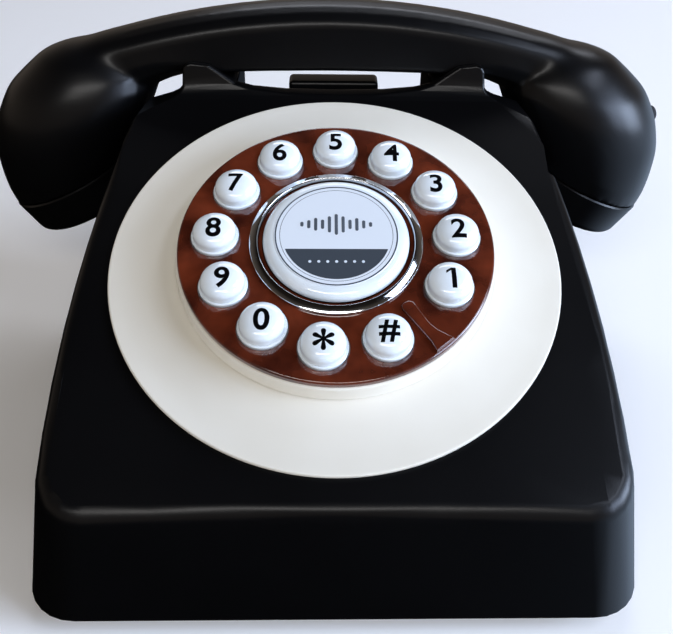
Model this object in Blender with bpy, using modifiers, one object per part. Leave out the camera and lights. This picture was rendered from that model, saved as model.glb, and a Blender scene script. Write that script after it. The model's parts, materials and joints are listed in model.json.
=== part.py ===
"""Desk telephone used as an audio guest book: push-button dial, cradle and lift-off handset."""

import math

import bmesh
import bpy
from mathutils import Matrix, Vector

MM = 0.001
GAP = 0.3 * MM
MERGE = 0.02 * MM
FLAT_ANGLE = math.radians(0.5)
SHARP_ANGLE = math.radians(32)

# Case: plan, walls and sloping face
CASE_FRONT_Y = -90 * MM
CASE_REAR_Y = 90 * MM
CASE_HALF_WIDTH = 83.2 * MM
CASE_WIDEST_Y = -26 * MM
CASE_REAR_HALF_WIDTH = 67 * MM
CASE_BOTTOM_Z = 5.2 * MM
CASE_BLANK_TOP_Z = 112 * MM
CASE_WALL = 2.4 * MM
CASE_CORNER_RADIUS = 14 * MM
CASE_EDGE_RADIUS = 3 * MM
EDGE_FADE = 6 * MM
SIDE_DRAFT = math.radians(9.3)
REAR_LEAN = math.radians(5)
FRONT_LEAN = math.radians(6)
FACE_TILT = math.radians(22)
FACE_CROWN = 2.4 * MM
CROWN_LINE_SHARES = (0, 0.1036, 0.3, 1)
FACE_STATION_SHARES = (-1, -0.77, -0.53, -0.28, 0, 0.28, 0.53, 0.77, 1)
SWEEP_START_Y = 42.2 * MM
SWEEP_RADIUS = 7.6 * MM
SWEEP_END_ANGLE = math.radians(80)
SWEEP_STEPS = 4

# Cradle: rear deck, the two saddles with their horns, and the rim outline
DECK_TOP_Z = 84.5 * MM
DECK_SLOPE = math.radians(22.3)
HORN_BACK_Y = 49.9 * MM
REAR_HORN_THICKNESS = 3.2 * MM
SADDLE_INNER_X = 32.3 * MM
HORN_OUTER_X = 50.2 * MM
HORN_TIP_X = 46.6 * MM
HORN_TIP_Z = 102.3 * MM
HORN_FOOT_Z = 92.6 * MM
HORN_FOOT_SHARE = 0.7
LIP_Z = 92.9 * MM
SHOULDER_X = 65.4 * MM
SHOULDER_Z = 88.4 * MM
SHOULDER_FALL = math.radians(62)

# Dial: its centre on the button plane, and radii outwards from its axis
DIAL_Y = -22.9 * MM
DIAL_Z = 76.8 * MM
FACE_DEPTH = 10.45 * MM
PLATE_RADIUS = 64.2 * MM
PLATE_EDGE = 0.95 * MM
PLATE_RISE = 2.1 * MM
PLATE_HOLE_RADIUS = 12 * MM
DRUM_RADIUS = 44.6 * MM
DRUM_WALL = 2.6 * MM
FACE_PLATE_RADIUS = 44.0 * MM
FACE_PLATE_THICKNESS = 1.8 * MM
RING_OUTER_RADIUS = 23.9 * MM
RING_WIDTH = 1.9 * MM
RING_HEIGHT = 1.5 * MM
CENTRE_RADIUS = 20.3 * MM
CENTRE_HEIGHT = 3.2 * MM
LABEL_RADIUS = 16.4 * MM
LABEL_THICKNESS = 0.6 * MM
WELL_RADIUS = 38.5 * MM
KEY_BOARD_THICKNESS = 1.6 * MM
KEY_MAT_THICKNESS = 1.2 * MM
STOP_HEIGHT = 1.0 * MM
STOP_TIP_GAP = 3.5 * MM

# Buttons
BUTTON_CIRCLE_RADIUS = 33.7 * MM
BUTTON_STEP = math.radians(29)
BUTTON_RADIUS = 6.0 * MM
BUTTON_FLANGE_RADIUS = 6.6 * MM
BUTTON_FLANGE_HEIGHT = 0.6 * MM
BUTTON_HEIGHT = 5.1 * MM
BUTTON_COLLAR_RADIUS = 7.3 * MM
BUTTON_COLLAR_HEIGHT = 0.8 * MM
BUTTON_TRAVEL = 1.6 * MM
BUTTON_SLACK = 0.3 * MM

# Handset: handle, cups tilted inwards, caps and what they hold
HANDSET_Y = 62.7 * MM
INLET_PROUD = 2.6 * MM
HANDLE_TOP_Z = 119.4 * MM
HANDLE_TOP_ARC = 246 * MM
HANDLE_RIDGE_DROP = 5.6 * MM
HANDLE_EDGE_Z = 99.7 * MM
HANDLE_BELLY = 2.4 * MM
HANDLE_BELLY_GROWTH = 0.4
HANDLE_ARCH = 800 * MM
HANDLE_HALF_DEPTH = 12.5 * MM
HANDLE_RIDGE_HALF_DEPTH = 11.4 * MM
HANDLE_FILLET_X = 40 * MM
HANDLE_FILLET_ARC = 38 * MM
CUP_X = 93.6 * MM
CUP_SEAM_Z = 56.2 * MM
CUP_RADIUS = 23.6 * MM
CUP_TILT = math.radians(24)
CUP_BORE_RADIUS = 20 * MM
CUP_BORE_DEPTH = 15 * MM
CAP_DEPTH = 14 * MM
CAP_FACE_RADIUS = 21.7 * MM
CAP_WALL = 2.4 * MM
CAP_EDGE_RADIUS = 3.4 * MM
CAP_DISH = 1.6 * MM
SOUND_HOLE_RADIUS = 1.5 * MM
SOUND_HOLE_CIRCLE = 8 * MM
CAPSULE_RADIUS = 18.4 * MM
CAPSULE_THICKNESS = 10 * MM
INLET_RADIUS = 4.4 * MM
INLET_TIP_RADIUS = 3.2 * MM
INLET_BORE_RADIUS = 2.2 * MM
INLET_LENGTH = 13 * MM
INLET_Z = 74 * MM
INLET_TURN = math.radians(24)

# Hook bar and the switch under it
HOOK_HALF_WIDTH = 15.5 * MM
HOOK_HALF_DEPTH = 4.4 * MM
HOOK_TOP_Z = 92 * MM
HOOK_TRAVEL = 4 * MM
HOOK_EDGE_RADIUS = 1.4 * MM
HOOK_STEM_HALF_WIDTH = 7 * MM
HOOK_STEM_HALF_DEPTH = 2.2 * MM
HOOK_GUIDE_WALL = 2 * MM
HOOK_GUIDE_DEPTH = 10 * MM
HOOK_SWITCH_SIZE = (20 * MM, 7 * MM, 10 * MM)

# Underside: plate, feet, screws and ballast
BASE_THICKNESS = 2.2 * MM
FOOT_RADIUS = 8.6 * MM
FOOT_TOP_RADIUS = 9.2 * MM
FOOT_SIDE_INSET = 18.6 * MM
FOOT_END_INSET = 18 * MM
SCREW_SIDE_INSET = 25 * MM
SCREW_END_INSET = 40 * MM
SCREW_RADIUS = 1.5 * MM
SCREW_HEAD_RADIUS = 2.9 * MM
SCREW_HEAD_HEIGHT = 1.3 * MM
SCREW_LENGTH = 12 * MM
BOSS_RADIUS = 4 * MM
BALLAST_SIZE = (84 * MM, 46 * MM, 5 * MM)
BALLAST_Y = -28 * MM

# Electronics and sockets
BOARD_SIZE = (78 * MM, 50 * MM, 1.6 * MM)
BOARD_Y = 42 * MM
BOARD_POST_HEIGHT = 7 * MM
BOARD_POST_RADIUS = 3 * MM
BOARD_POST_INSET = 5 * MM
CARD_SIZE = (11 * MM, 15 * MM, 1 * MM)
CARD_X = -24 * MM
JACK_SIZE = (13 * MM, 14 * MM, 12 * MM)
JACK_MOUTH = (7.6 * MM, 6.6 * MM)
JACK_MOUTH_DEPTH = 9 * MM
JACK_X = 30 * MM
POWER_SIZE = (11 * MM, 9 * MM, 5 * MM)
POWER_MOUTH = (9 * MM, 3.2 * MM)
POWER_MOUTH_DEPTH = 6 * MM
POWER_X = -26 * MM
SOCKET_Z = 24 * MM

# Shares of the sizes above, for the curves that no radius describes
LIP_SHARES = ((0, 0), (0.34, 0.04), (0.58, 0.15), (0.7, 0.31), (0.8, 0.62), (0.89, 0.92))
TIP_SHARES = ((0.2, 0), (0.7, 0.16), (1, 0.6))
FOOT_SHARES = ((0.1, 0.8), (0.6, 0.2), (1.6, -0.3))
PLATE_SHARES = ((0.35, 0.43), (0.7, 0.75), (0.97, 0.98))
CENTRE_SHARES = ((0.35, 0.06), (0.7, 0.26), (0.92, 0.55), (1, 0.85), (1, 1))
BUTTON_SHARES = ((0, 1), (0.45, 0.96), (0.8, 0.77), (1, 0.35), (1, 0))
BELLY_SHARES = ((0.6, 0.2), (0.93, 0.62), (1, 1))
RIDGE_SHARES = ((0.93, 0.28), (0.72, 0.66), (0.4, 0.91))
FACE_EDGE_SHARES = ((1, 0), (0.3, 0.3), (0, 1))
RING_SHARES = ((-1, 0), (-1, 0.6), (-0.5, 1), (0.5, 1), (1, 0.6), (1, 0))
LABEL_SHARES = ((0, 1), (0.7, 0.9), (1, 0.6), (1, 0), (0, 0))
CAP_CORNER_SHARES = (1, 0.6, 0.3, 0)
CAP_DISH_SHARES = ((0.5, 0.7), (0, 1))
INLET_TAPER_SHARE = 0.45
SCREW_CROWN_SHARE = 0.8
CUP_SHARES = (
    (0.0, 0.0, -1.0, 1.0, 1.0),
    (-0.026, 0.36, -0.71, 1.1, 1.03),
    (-0.08, 0.75, -0.46, 1.17, 1.04),
    (-0.2, 1.11, -0.23, 1.165, 1.01),
    (-0.35, 1.43, -0.05, 1.1, 0.92),
    (-0.48, 1.68, 0.0, 0.94, 0.78),
    (-0.5, 1.88, 0.03, 0.72, 0.6),
    (-0.56, 2.01, 0.16, 0.39, 0.36),
)
STOP_SHARES = (
    (0.0, 4.86),
    (0.0, 4.78),
    (0.01, 4.72),
    (0.09, 4.66),
    (0.18, 4.68),
    (0.37, 4.73),
    (0.56, 4.76),
    (0.72, 4.75),
    (0.85, 4.72),
    (1.0, 4.69),
    (1.0, 4.97),
    (0.8, 4.94),
    (0.06, 4.92),
)

CUP_SIDES = 28
BUTTON_NAMES = ("1", "2", "3", "4", "5", "6", "7", "8", "9", "0", "star", "hash")
FIVE_PLACE = BUTTON_NAMES.index("5")
FAR = 2 * CASE_REAR_Y
SKY = 2 * CASE_BLANK_TOP_Z

for old in list(bpy.data.objects):
    bpy.data.objects.remove(old, do_unlink=True)

parts = bpy.data.collections.new("guest_book_telephone")
cutters = bpy.data.collections.new("cutters")
for made in (parts, cutters):
    bpy.context.scene.collection.children.link(made)
cutters.hide_render = True


def paint(name, red, green, blue, roughness, metallic=0.0):
    made = bpy.data.materials.new(name)
    made.use_nodes = True
    shader = made.node_tree.nodes["Principled BSDF"]
    shader.inputs["Base Color"].default_value = (red, green, blue, 1)
    shader.inputs["Roughness"].default_value = roughness
    shader.inputs["Metallic"].default_value = metallic
    return made


satin_black = paint("satin_black_plastic", 0.012, 0.012, 0.014, 0.42)
cream = paint("cream_plastic", 0.72, 0.69, 0.61, 0.45)
brown = paint("glossy_brown_plastic", 0.10, 0.022, 0.010, 0.12)
white = paint("glossy_white_plastic", 0.78, 0.83, 0.88, 0.15)
chrome = paint("chrome", 0.8, 0.8, 0.8, 0.06, 1.0)
label_grey = paint("printed_label", 0.30, 0.33, 0.36, 0.4)
rubber = paint("dark_rubber", 0.03, 0.03, 0.033, 0.8)
steel = paint("zinc_steel", 0.55, 0.55, 0.56, 0.35, 1.0)
board_green = paint("circuit_board", 0.02, 0.12, 0.05, 0.5)


def add_object(name, mesh, material, cutter=False):
    """Wraps a mesh in an object, in the collection of parts or of cutters."""
    made = bpy.data.objects.new(name, mesh)
    (cutters if cutter else parts).objects.link(made)
    if cutter:
        made.hide_render = True
        made.display_type = "WIRE"
    if material:
        mesh.materials.append(material)
    return made


def from_bmesh(name, shape, material, cutter=False):
    bmesh.ops.recalc_face_normals(shape, faces=shape.faces)
    mesh = bpy.data.meshes.new(name)
    shape.to_mesh(mesh)
    shape.free()
    return add_object(name, mesh, material, cutter)


def smooth(made):
    made.data.shade_smooth()
    made.data.set_sharp_from_angle(angle=SHARP_ANGLE)
    return made


def box(name, low, high, material=None):
    """A box between two corners; without a material it is a cutter."""
    shape = bmesh.new()
    size = [b - a for a, b in zip(low, high)]
    middle = [(a + b) / 2 for a, b in zip(low, high)]
    place = Matrix.Translation(middle) @ Matrix.Diagonal((*size, 1))
    bmesh.ops.create_cube(shape, size=1, matrix=place)
    return from_bmesh(name, shape, material, cutter=material is None)


def rod(name, radius, low, high, material=None, sides=24):
    """A cylinder from one point to another."""
    start, end = Vector(low), Vector(high)
    turn = (end - start).to_track_quat("Z", "Y").to_matrix().to_4x4()
    shape = bmesh.new()
    bmesh.ops.create_cone(
        shape,
        cap_ends=True,
        segments=sides,
        radius1=radius,
        radius2=radius,
        depth=(end - start).length,
        matrix=Matrix.Translation((start + end) / 2) @ turn,
    )
    return from_bmesh(name, shape, material, cutter=material is None)


def loft(name, rings, material=None):
    """Skins rings of equally many points and closes both ends."""
    shape = bmesh.new()
    rows = [[shape.verts.new(point) for point in ring] for ring in rings]
    count = len(rows[0])
    for lower, upper in zip(rows, rows[1:]):
        for i in range(count):
            j = (i + 1) % count
            shape.faces.new((lower[i], lower[j], upper[j], upper[i]))
    shape.faces.new(rows[0][::-1])
    shape.faces.new(rows[-1])
    return from_bmesh(name, shape, material, cutter=material is None)


def turned(name, profile, material, steps=32, place=None, closed=False):
    """Turns a profile of (radius, height) points, which runs down its outer side."""
    mesh = bpy.data.meshes.new(name)
    edges = [(i, i + 1) for i in range(len(profile) - 1)]
    if closed:
        edges.append((len(profile) - 1, 0))
    mesh.from_pydata([(r, 0, h) for r, h in profile], edges, [])
    made = add_object(name, mesh, material, cutter=material is None)
    screw = made.modifiers.new("turn", "SCREW")
    screw.steps = screw.render_steps = steps
    screw.use_merge_vertices = True
    screw.merge_threshold = MERGE
    screw.use_smooth_shade = True
    if place:
        made.matrix_world = place
    return made


def combine(target, other, operation="DIFFERENCE"):
    """Cuts or joins a second object; a joined one becomes a helper."""
    change = target.modifiers.new(other.name, "BOOLEAN")
    change.operation = operation
    change.solver = "EXACT"
    change.object = other
    if other.name in parts.objects:
        parts.objects.unlink(other)
        cutters.objects.link(other)
    other.hide_render = True
    other.display_type = "WIRE"
    return target


def bevel(made, width, segments=2, weights=False):
    change = made.modifiers.new("edges", "BEVEL")
    change.width = width
    change.segments = segments
    change.limit_method = "WEIGHT" if weights else "ANGLE"
    change.angle_limit = SHARP_ANGLE
    change.use_clamp_overlap = not weights
    return made


def weigh_edges(made, weight, least_edge):
    """Weighs each sharp outward edge for a bevel, and first drops the shortest ones."""
    shape = bmesh.new()
    shape.from_mesh(made.data)
    rims = {}
    for edge in shape.edges:
        if edge.is_manifold and edge.calc_face_angle_signed() > SHARP_ANGLE:
            for end in edge.verts:
                rims.setdefault(weight(end.co), set()).add(end)
    for share, ends in rims.items():
        bmesh.ops.remove_doubles(shape, verts=list(ends), dist=max(MERGE, least_edge * share))
    layer = shape.edges.layers.float.new("bevel_weight_edge")
    for edge in shape.edges:
        if edge.is_manifold and edge.calc_face_angle_signed() > SHARP_ANGLE:
            edge[layer] = weight((edge.verts[0].co + edge.verts[1].co) / 2)
    shape.to_mesh(made.data)
    shape.free()


def settle(made):
    """Replaces the object's mesh by its evaluated mesh, without small faults."""
    bpy.context.view_layer.update()
    graph = bpy.context.evaluated_depsgraph_get()
    mesh = bpy.data.meshes.new_from_object(made.evaluated_get(graph))
    made.modifiers.clear()
    shape = bmesh.new()
    shape.from_mesh(mesh)
    bmesh.ops.remove_doubles(shape, verts=shape.verts, dist=MERGE)
    bmesh.ops.dissolve_limit(
        shape, angle_limit=FLAT_ANGLE, verts=shape.verts, edges=shape.edges
    )
    shape.to_mesh(mesh)
    shape.free()
    made.data = mesh
    return made


def face_z(y):
    """Height of the sloping face on the middle plane."""
    y_foot = DIAL_Y + FACE_DEPTH * math.sin(FACE_TILT)
    z_foot = DIAL_Z - FACE_DEPTH * math.cos(FACE_TILT)
    return z_foot + math.tan(FACE_TILT) * (y - y_foot)


def deck_z(y):
    return DECK_TOP_Z - math.tan(DECK_SLOPE) * (y - HORN_BACK_Y)


def half_width(y):
    share = (y - CASE_WIDEST_Y) / (CASE_REAR_Y - CASE_WIDEST_Y)
    return CASE_HALF_WIDTH - (CASE_HALF_WIDTH - CASE_REAR_HALF_WIDTH) * share**2


def corner(end_y, sign, inset_side, radius):
    """Centre and start angle of a plan corner that meets the barrel side smoothly."""
    y = end_y - sign * radius
    for _ in range(4):
        slope = (half_width(y + MERGE) - half_width(y - MERGE)) / (2 * MERGE)
        turn = math.atan(-slope * sign)
        y = end_y - sign * radius * (1 - math.sin(turn))
    middle = half_width(y) - inset_side - radius * math.cos(turn)
    return middle, end_y - sign * radius, turn, y


def case_ring(z, inset, corner_steps=6, side_steps=12, end_steps=3):
    """The case's plan at one height, with barrel sides and round corners."""
    rise = z - CASE_BOTTOM_Z
    side = inset + rise * math.tan(SIDE_DRAFT)
    front = CASE_FRONT_Y + inset + rise * math.tan(FRONT_LEAN)
    rear = CASE_REAR_Y - inset - rise * math.tan(REAR_LEAN)
    radius = CASE_CORNER_RADIUS - inset
    right = []
    front_x, front_y, front_turn, low = corner(front, -1, side, radius)
    for i in range(corner_steps + 1):
        turn = -math.pi / 2 + (math.pi / 2 - front_turn) * i / corner_steps
        right.append((front_x + radius * math.cos(turn), front_y + radius * math.sin(turn)))
    rear_x, rear_y, rear_turn, high = corner(rear, 1, side, radius)
    for i in range(1, side_steps):
        y = low + (high - low) * i / side_steps
        right.append((half_width(y) - side, y))
    for i in range(corner_steps + 1):
        turn = rear_turn + (math.pi / 2 - rear_turn) * i / corner_steps
        right.append((rear_x + radius * math.cos(turn), rear_y + radius * math.sin(turn)))
    across = [1 - i / end_steps for i in range(1, 2 * end_steps)]
    rear_edge = [(rear_x * share, rear) for share in across]
    left = [(-x, y) for x, y in reversed(right)]
    front_edge = [(-front_x * share, front) for share in across]
    return [(x, y, z) for x, y in right + rear_edge + left + front_edge]


def extrude_x(name, outline, stations):
    """Skins a (y, z) outline through the stations; outline is a function of x."""
    return loft(name, [[(x, y, z) for y, z in outline(x)] for x in stations])


def extrude_y(name, points, low, high):
    return loft(name, [[(x, y, z) for x, z in points] for y in (low, high)])


def handle_belly_z(x):
    """The lowest line of the handle, arched in the middle and falling to the cups."""
    arch = HANDLE_EDGE_Z - HANDLE_BELLY - x * x / (2 * HANDLE_ARCH)
    past = max(0.0, abs(x) - HANDLE_FILLET_X)
    return arch - past * past / (2 * HANDLE_FILLET_ARC)


def rim_outline():
    """Half of the rim seen from the front: lip, horn, its foot and the shoulder."""
    rise = HORN_TIP_Z - LIP_Z
    tip = HORN_OUTER_X - HORN_TIP_X
    foot = tip * HORN_FOOT_SHARE
    points = [(HORN_TIP_X * out, LIP_Z + rise * up) for out, up in LIP_SHARES]
    points += [(HORN_TIP_X + tip * out, HORN_TIP_Z - tip * down) for out, down in TIP_SHARES]
    points += [(HORN_OUTER_X + foot * out, HORN_FOOT_Z + foot * up) for out, up in FOOT_SHARES]
    return points + [(SHOULDER_X, SHOULDER_Z)]


def face_outline(x, drop=0, sweep=True):
    """The space above the sloping face at one x, lowered by drop for the inside."""
    crown = FACE_CROWN * (x / half_width(CASE_FRONT_Y)) ** 2
    length = SWEEP_START_Y - CASE_FRONT_Y
    line = [(-FAR, face_z(-FAR) - crown * 2 - drop)]
    for share in CROWN_LINE_SHARES:
        y = CASE_FRONT_Y + length * share
        line.append((y, face_z(y) - crown * (1 - share) ** 3 - drop))
    if not sweep:
        return line + [(FAR, face_z(FAR) - drop), (FAR, SKY), (-FAR, SKY)]
    for i in range(1, SWEEP_STEPS + 1):
        turn = FACE_TILT + (SWEEP_END_ANGLE - FACE_TILT) * i / SWEEP_STEPS
        y = SWEEP_START_Y + SWEEP_RADIUS * (math.sin(turn) - math.sin(FACE_TILT))
        z = face_z(SWEEP_START_Y) + SWEEP_RADIUS * (math.cos(FACE_TILT) - math.cos(turn))
        line.append((y, z))
    rise = SKY - line[-1][1]
    line.append((line[-1][0] + rise / math.tan(SWEEP_END_ANGLE), SKY))
    return line + [(-FAR, SKY)]


def case_stations():
    spread = CASE_HALF_WIDTH + CASE_WALL
    return [spread * share for share in FACE_STATION_SHARES]


def make_outside():
    """The case's outer form: block, sloping face, rim outline, deck and saddles."""
    levels = (CASE_BOTTOM_Z, CASE_BLANK_TOP_Z)
    case = loft("case_shell", [case_ring(z, 0) for z in levels], satin_black)
    combine(case, extrude_x("face_cut", face_outline, case_stations()))

    half_rim = rim_outline()
    whole_rim = [(-x, z) for x, z in reversed(half_rim[1:])] + half_rim
    fall = CASE_HALF_WIDTH * math.tan(SHOULDER_FALL)
    above = [(CASE_HALF_WIDTH + SHOULDER_X, SHOULDER_Z - fall)]
    above.append((CASE_HALF_WIDTH + SHOULDER_X, SKY))
    outline = whole_rim + above + [(-x, z) for x, z in reversed(above)]
    combine(case, extrude_y("rim_cut", outline, -FAR, FAR))

    def deck_outline(x):
        low = ((HORN_BACK_Y, deck_z(HORN_BACK_Y)), (FAR, deck_z(FAR)))
        return (*low, (FAR, SKY), (HORN_BACK_Y, SKY))

    combine(case, extrude_x("deck_cut", deck_outline, (-FAR, FAR)))

    rear_back = 2 * HANDSET_Y - HORN_BACK_Y + REAR_HORN_THICKNESS
    low_z = deck_z(rear_back) - 2 * CASE_WALL
    top = [(x, z) for x, z in half_rim if SADDLE_INNER_X < x <= HORN_OUTER_X]
    inner_z = LIP_Z + (top[0][1] - LIP_Z) * SADDLE_INNER_X / top[0][0]
    saddle = [(SADDLE_INNER_X, low_z), (SADDLE_INNER_X, inner_z), *top, (HORN_OUTER_X, low_z)]
    for side, name in ((1, "right"), (-1, "left")):
        hill = [(side * x, z) for x, z in saddle[::side]]
        raised = extrude_y(name + "_saddle", hill, HORN_BACK_Y - CASE_WALL, rear_back)
        combine(case, raised, "UNION")
    for side, name in ((1, "right"), (-1, "left")):
        hollow = []
        for x in handle_stations():
            if SADDLE_INNER_X / 2 < side * x < 2 * HORN_OUTER_X - SADDLE_INNER_X:
                hollow.append((x + handset_shift(), handle_belly_z(x) - GAP))
        hollow += [(hollow[-1][0], SKY), (hollow[0][0], SKY)]
        rear_front = rear_back - REAR_HORN_THICKNESS
        combine(case, extrude_y(name + "_dip", hollow, HORN_BACK_Y, rear_front))
    settle(case)

    def weight(place):
        if place.z < CASE_BOTTOM_Z + MERGE or SWEEP_START_Y < place.y < HANDSET_Y:
            return 0
        return min(1, max(0, (SHOULDER_Z - place.z) / EDGE_FADE - 1))

    weigh_edges(case, weight, CASE_EDGE_RADIUS / 2)
    return bevel(case, CASE_EDGE_RADIUS, 3, weights=True)


def make_inside():
    """The hollow under the case, less its screw bosses and the hook bar's sleeve."""
    levels = (CASE_BOTTOM_Z - CASE_WALL, CASE_BLANK_TOP_Z)
    inside = loft("inside", [case_ring(z, CASE_WALL) for z in levels])
    drop = CASE_WALL / math.cos(FACE_TILT)

    def roof(x):
        return face_outline(x, drop, sweep=False)

    def deck_roof(x):
        low = ((-FAR, deck_z(-FAR) - drop), (FAR, deck_z(FAR) - drop))
        return (*low, (FAR, SKY), (-FAR, SKY))

    combine(inside, extrude_x("roof_cut", roof, case_stations()))
    combine(inside, extrude_x("deck_roof_cut", deck_roof, (-FAR, FAR)))
    for name, x, y in corner_places("boss", SCREW_SIDE_INSET, SCREW_END_INSET):
        low = CASE_BOTTOM_Z + BASE_THICKNESS + GAP
        combine(inside, rod(name, BOSS_RADIUS, (x, y, low), (x, y, SKY), sides=16))
    wide = HOOK_HALF_WIDTH + GAP + HOOK_GUIDE_WALL
    deep = HOOK_HALF_DEPTH + GAP + HOOK_GUIDE_WALL
    low, high = (-wide, HANDSET_Y - deep, hook_sleeve_z()), (wide, HANDSET_Y + deep, SKY)
    return combine(inside, box("sleeve", low, high))


def corner_places(name, side_inset, end_inset):
    """Names and places of the four pieces of a kind that stand in the corners."""
    for end, y in (("front", CASE_FRONT_Y + end_inset), ("rear", CASE_REAR_Y - end_inset)):
        for side, sign in (("left", -1), ("right", 1)):
            yield f"{name}_{end}_{side}", sign * (half_width(y) - side_inset), y


def hook_sleeve_z():
    return deck_z(HANDSET_Y) - HOOK_GUIDE_DEPTH - CASE_WALL


def case_rear_y(z, inset=0):
    return CASE_REAR_Y - inset - (z - CASE_BOTTOM_Z) * math.tan(REAR_LEAN)


def dial_place(height=0, across=0, along=0):
    """The dial's frame, whose Z is its axis, moved within it."""
    turn = Matrix.Rotation(FACE_TILT, 4, "X")
    within = Matrix.Translation((across, along, height))
    return Matrix.Translation((0, DIAL_Y, DIAL_Z)) @ turn @ within


def placed(made, place):
    made.matrix_world = place
    return made


def make_case():
    case = make_outside()
    combine(case, make_inside())
    well = rod("well", WELL_RADIUS, (0, 0, -FACE_DEPTH * 2), (0, 0, FACE_DEPTH), sides=40)
    combine(case, placed(well, dial_place()))
    wide, deep = HOOK_HALF_WIDTH + GAP, HOOK_HALF_DEPTH + GAP
    low, high = (-wide, HANDSET_Y - deep, CASE_BOTTOM_Z), (wide, HANDSET_Y + deep, HORN_TIP_Z)
    combine(case, box("hook_slot", low, high))
    for name, x, y in corner_places("pilot", SCREW_SIDE_INSET, SCREW_END_INSET):
        top = CASE_BOTTOM_Z + SCREW_LENGTH
        combine(case, rod(name, SCREW_RADIUS + GAP, (x, y, 0), (x, y, top), sides=12))
    for name, x, size in (("jack_hole", JACK_X, JACK_SIZE), ("power_hole", POWER_X, POWER_SIZE)):
        half_x, half_z = size[0] / 2 + GAP, size[2] / 2 + GAP
        low = (x - half_x, case_rear_y(0) - 2 * CASE_WALL - size[2] / 2, SOCKET_Z - half_z)
        high = (x + half_x, CASE_REAR_Y + CASE_WALL, SOCKET_Z + half_z)
        combine(case, box(name, low, high))
    smooth(case)


def make_base():
    low, high = CASE_BOTTOM_Z, CASE_BOTTOM_Z + BASE_THICKNESS
    plate = loft("base_plate", [case_ring(z, CASE_WALL + GAP) for z in (low, high)], satin_black)
    sink = BASE_THICKNESS / 2
    post_x = BOARD_SIZE[0] / 2 - BOARD_POST_INSET
    for sign_x in (-1, 1):
        for sign_y in (-1, 1):
            x = sign_x * post_x
            y = BOARD_Y + sign_y * (BOARD_SIZE[1] / 2 - BOARD_POST_INSET)
            ends = (x, y, low + sink), (x, y, high + BOARD_POST_HEIGHT)
            post = rod(f"post_{sign_x}_{sign_y}", BOARD_POST_RADIUS, *ends, satin_black, sides=12)
            combine(plate, post, "UNION")
    for name, x, y in corner_places("hole", SCREW_SIDE_INSET, SCREW_END_INSET):
        combine(plate, rod(name, SCREW_RADIUS + GAP, (x, y, 0), (x, y, 2 * high), sides=12))
    for name, x, y in corner_places("foot", FOOT_SIDE_INSET, FOOT_END_INSET):
        top = CASE_BOTTOM_Z - GAP
        edge = (FOOT_TOP_RADIUS - FOOT_RADIUS) * 2
        profile = [(0, top), (FOOT_TOP_RADIUS, top), (FOOT_TOP_RADIUS, top - edge)]
        profile += [(FOOT_RADIUS, edge / 2), (FOOT_RADIUS - edge / 2, 0), (0, 0)]
        turned(name, profile, rubber, 24, Matrix.Translation((x, y, 0)))
    for name, x, y in corner_places("screw", SCREW_SIDE_INSET, SCREW_END_INSET):
        top = CASE_BOTTOM_Z - GAP
        profile = [(0, top + SCREW_LENGTH - GAP), (SCREW_RADIUS, top + SCREW_LENGTH - GAP)]
        profile += [(SCREW_RADIUS, top), (SCREW_HEAD_RADIUS, top)]
        crown = SCREW_HEAD_RADIUS * SCREW_CROWN_SHARE
        profile += [(crown, top - SCREW_HEAD_HEIGHT), (0, top - SCREW_HEAD_HEIGHT)]
        turned(name, profile, steel, 12, Matrix.Translation((x, y, 0)))
    half_x, half_y = BALLAST_SIZE[0] / 2, BALLAST_SIZE[1] / 2
    floor = high + GAP
    low_corner = (-half_x, BALLAST_Y - half_y, floor)
    box("ballast_plate", low_corner, (half_x, BALLAST_Y + half_y, floor + BALLAST_SIZE[2]), steel)


def board_top_z():
    return CASE_BOTTOM_Z + BASE_THICKNESS + BOARD_POST_HEIGHT + GAP + BOARD_SIZE[2]


def make_electronics():
    half_x, half_y = BOARD_SIZE[0] / 2, BOARD_SIZE[1] / 2
    top = board_top_z()
    low = (-half_x, BOARD_Y - half_y, top - BOARD_SIZE[2])
    box("recorder_board", low, (half_x, BOARD_Y + half_y, top), board_green)
    low = (CARD_X - CARD_SIZE[0] / 2, BOARD_Y - CARD_SIZE[1] / 2, top + GAP)
    box("memory_card", low, [a + b for a, b in zip(low, CARD_SIZE)], satin_black)
    wide, deep, tall = HOOK_SWITCH_SIZE
    low = (-wide / 2, HANDSET_Y - deep / 2, top + GAP)
    box("hook_switch", low, (wide / 2, HANDSET_Y + deep / 2, top + GAP + tall), satin_black)
    sockets = (
        ("handset_jack", JACK_X, JACK_SIZE, JACK_MOUTH, JACK_MOUTH_DEPTH, satin_black),
        ("power_socket", POWER_X, POWER_SIZE, POWER_MOUTH, POWER_MOUTH_DEPTH, steel),
    )
    for name, x, (wide, deep, tall), mouth, depth, material in sockets:
        face = case_rear_y(SOCKET_Z + tall / 2)
        low = (x - wide / 2, face - deep, SOCKET_Z - tall / 2)
        body = box(name, low, (x + wide / 2, face, SOCKET_Z + tall / 2), material)
        low = (x - mouth[0] / 2, face - depth, SOCKET_Z - mouth[1] / 2)
        high = (x + mouth[0] / 2, face + depth, SOCKET_Z + mouth[1] / 2)
        combine(body, box(name + "_mouth", low, high))


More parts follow.
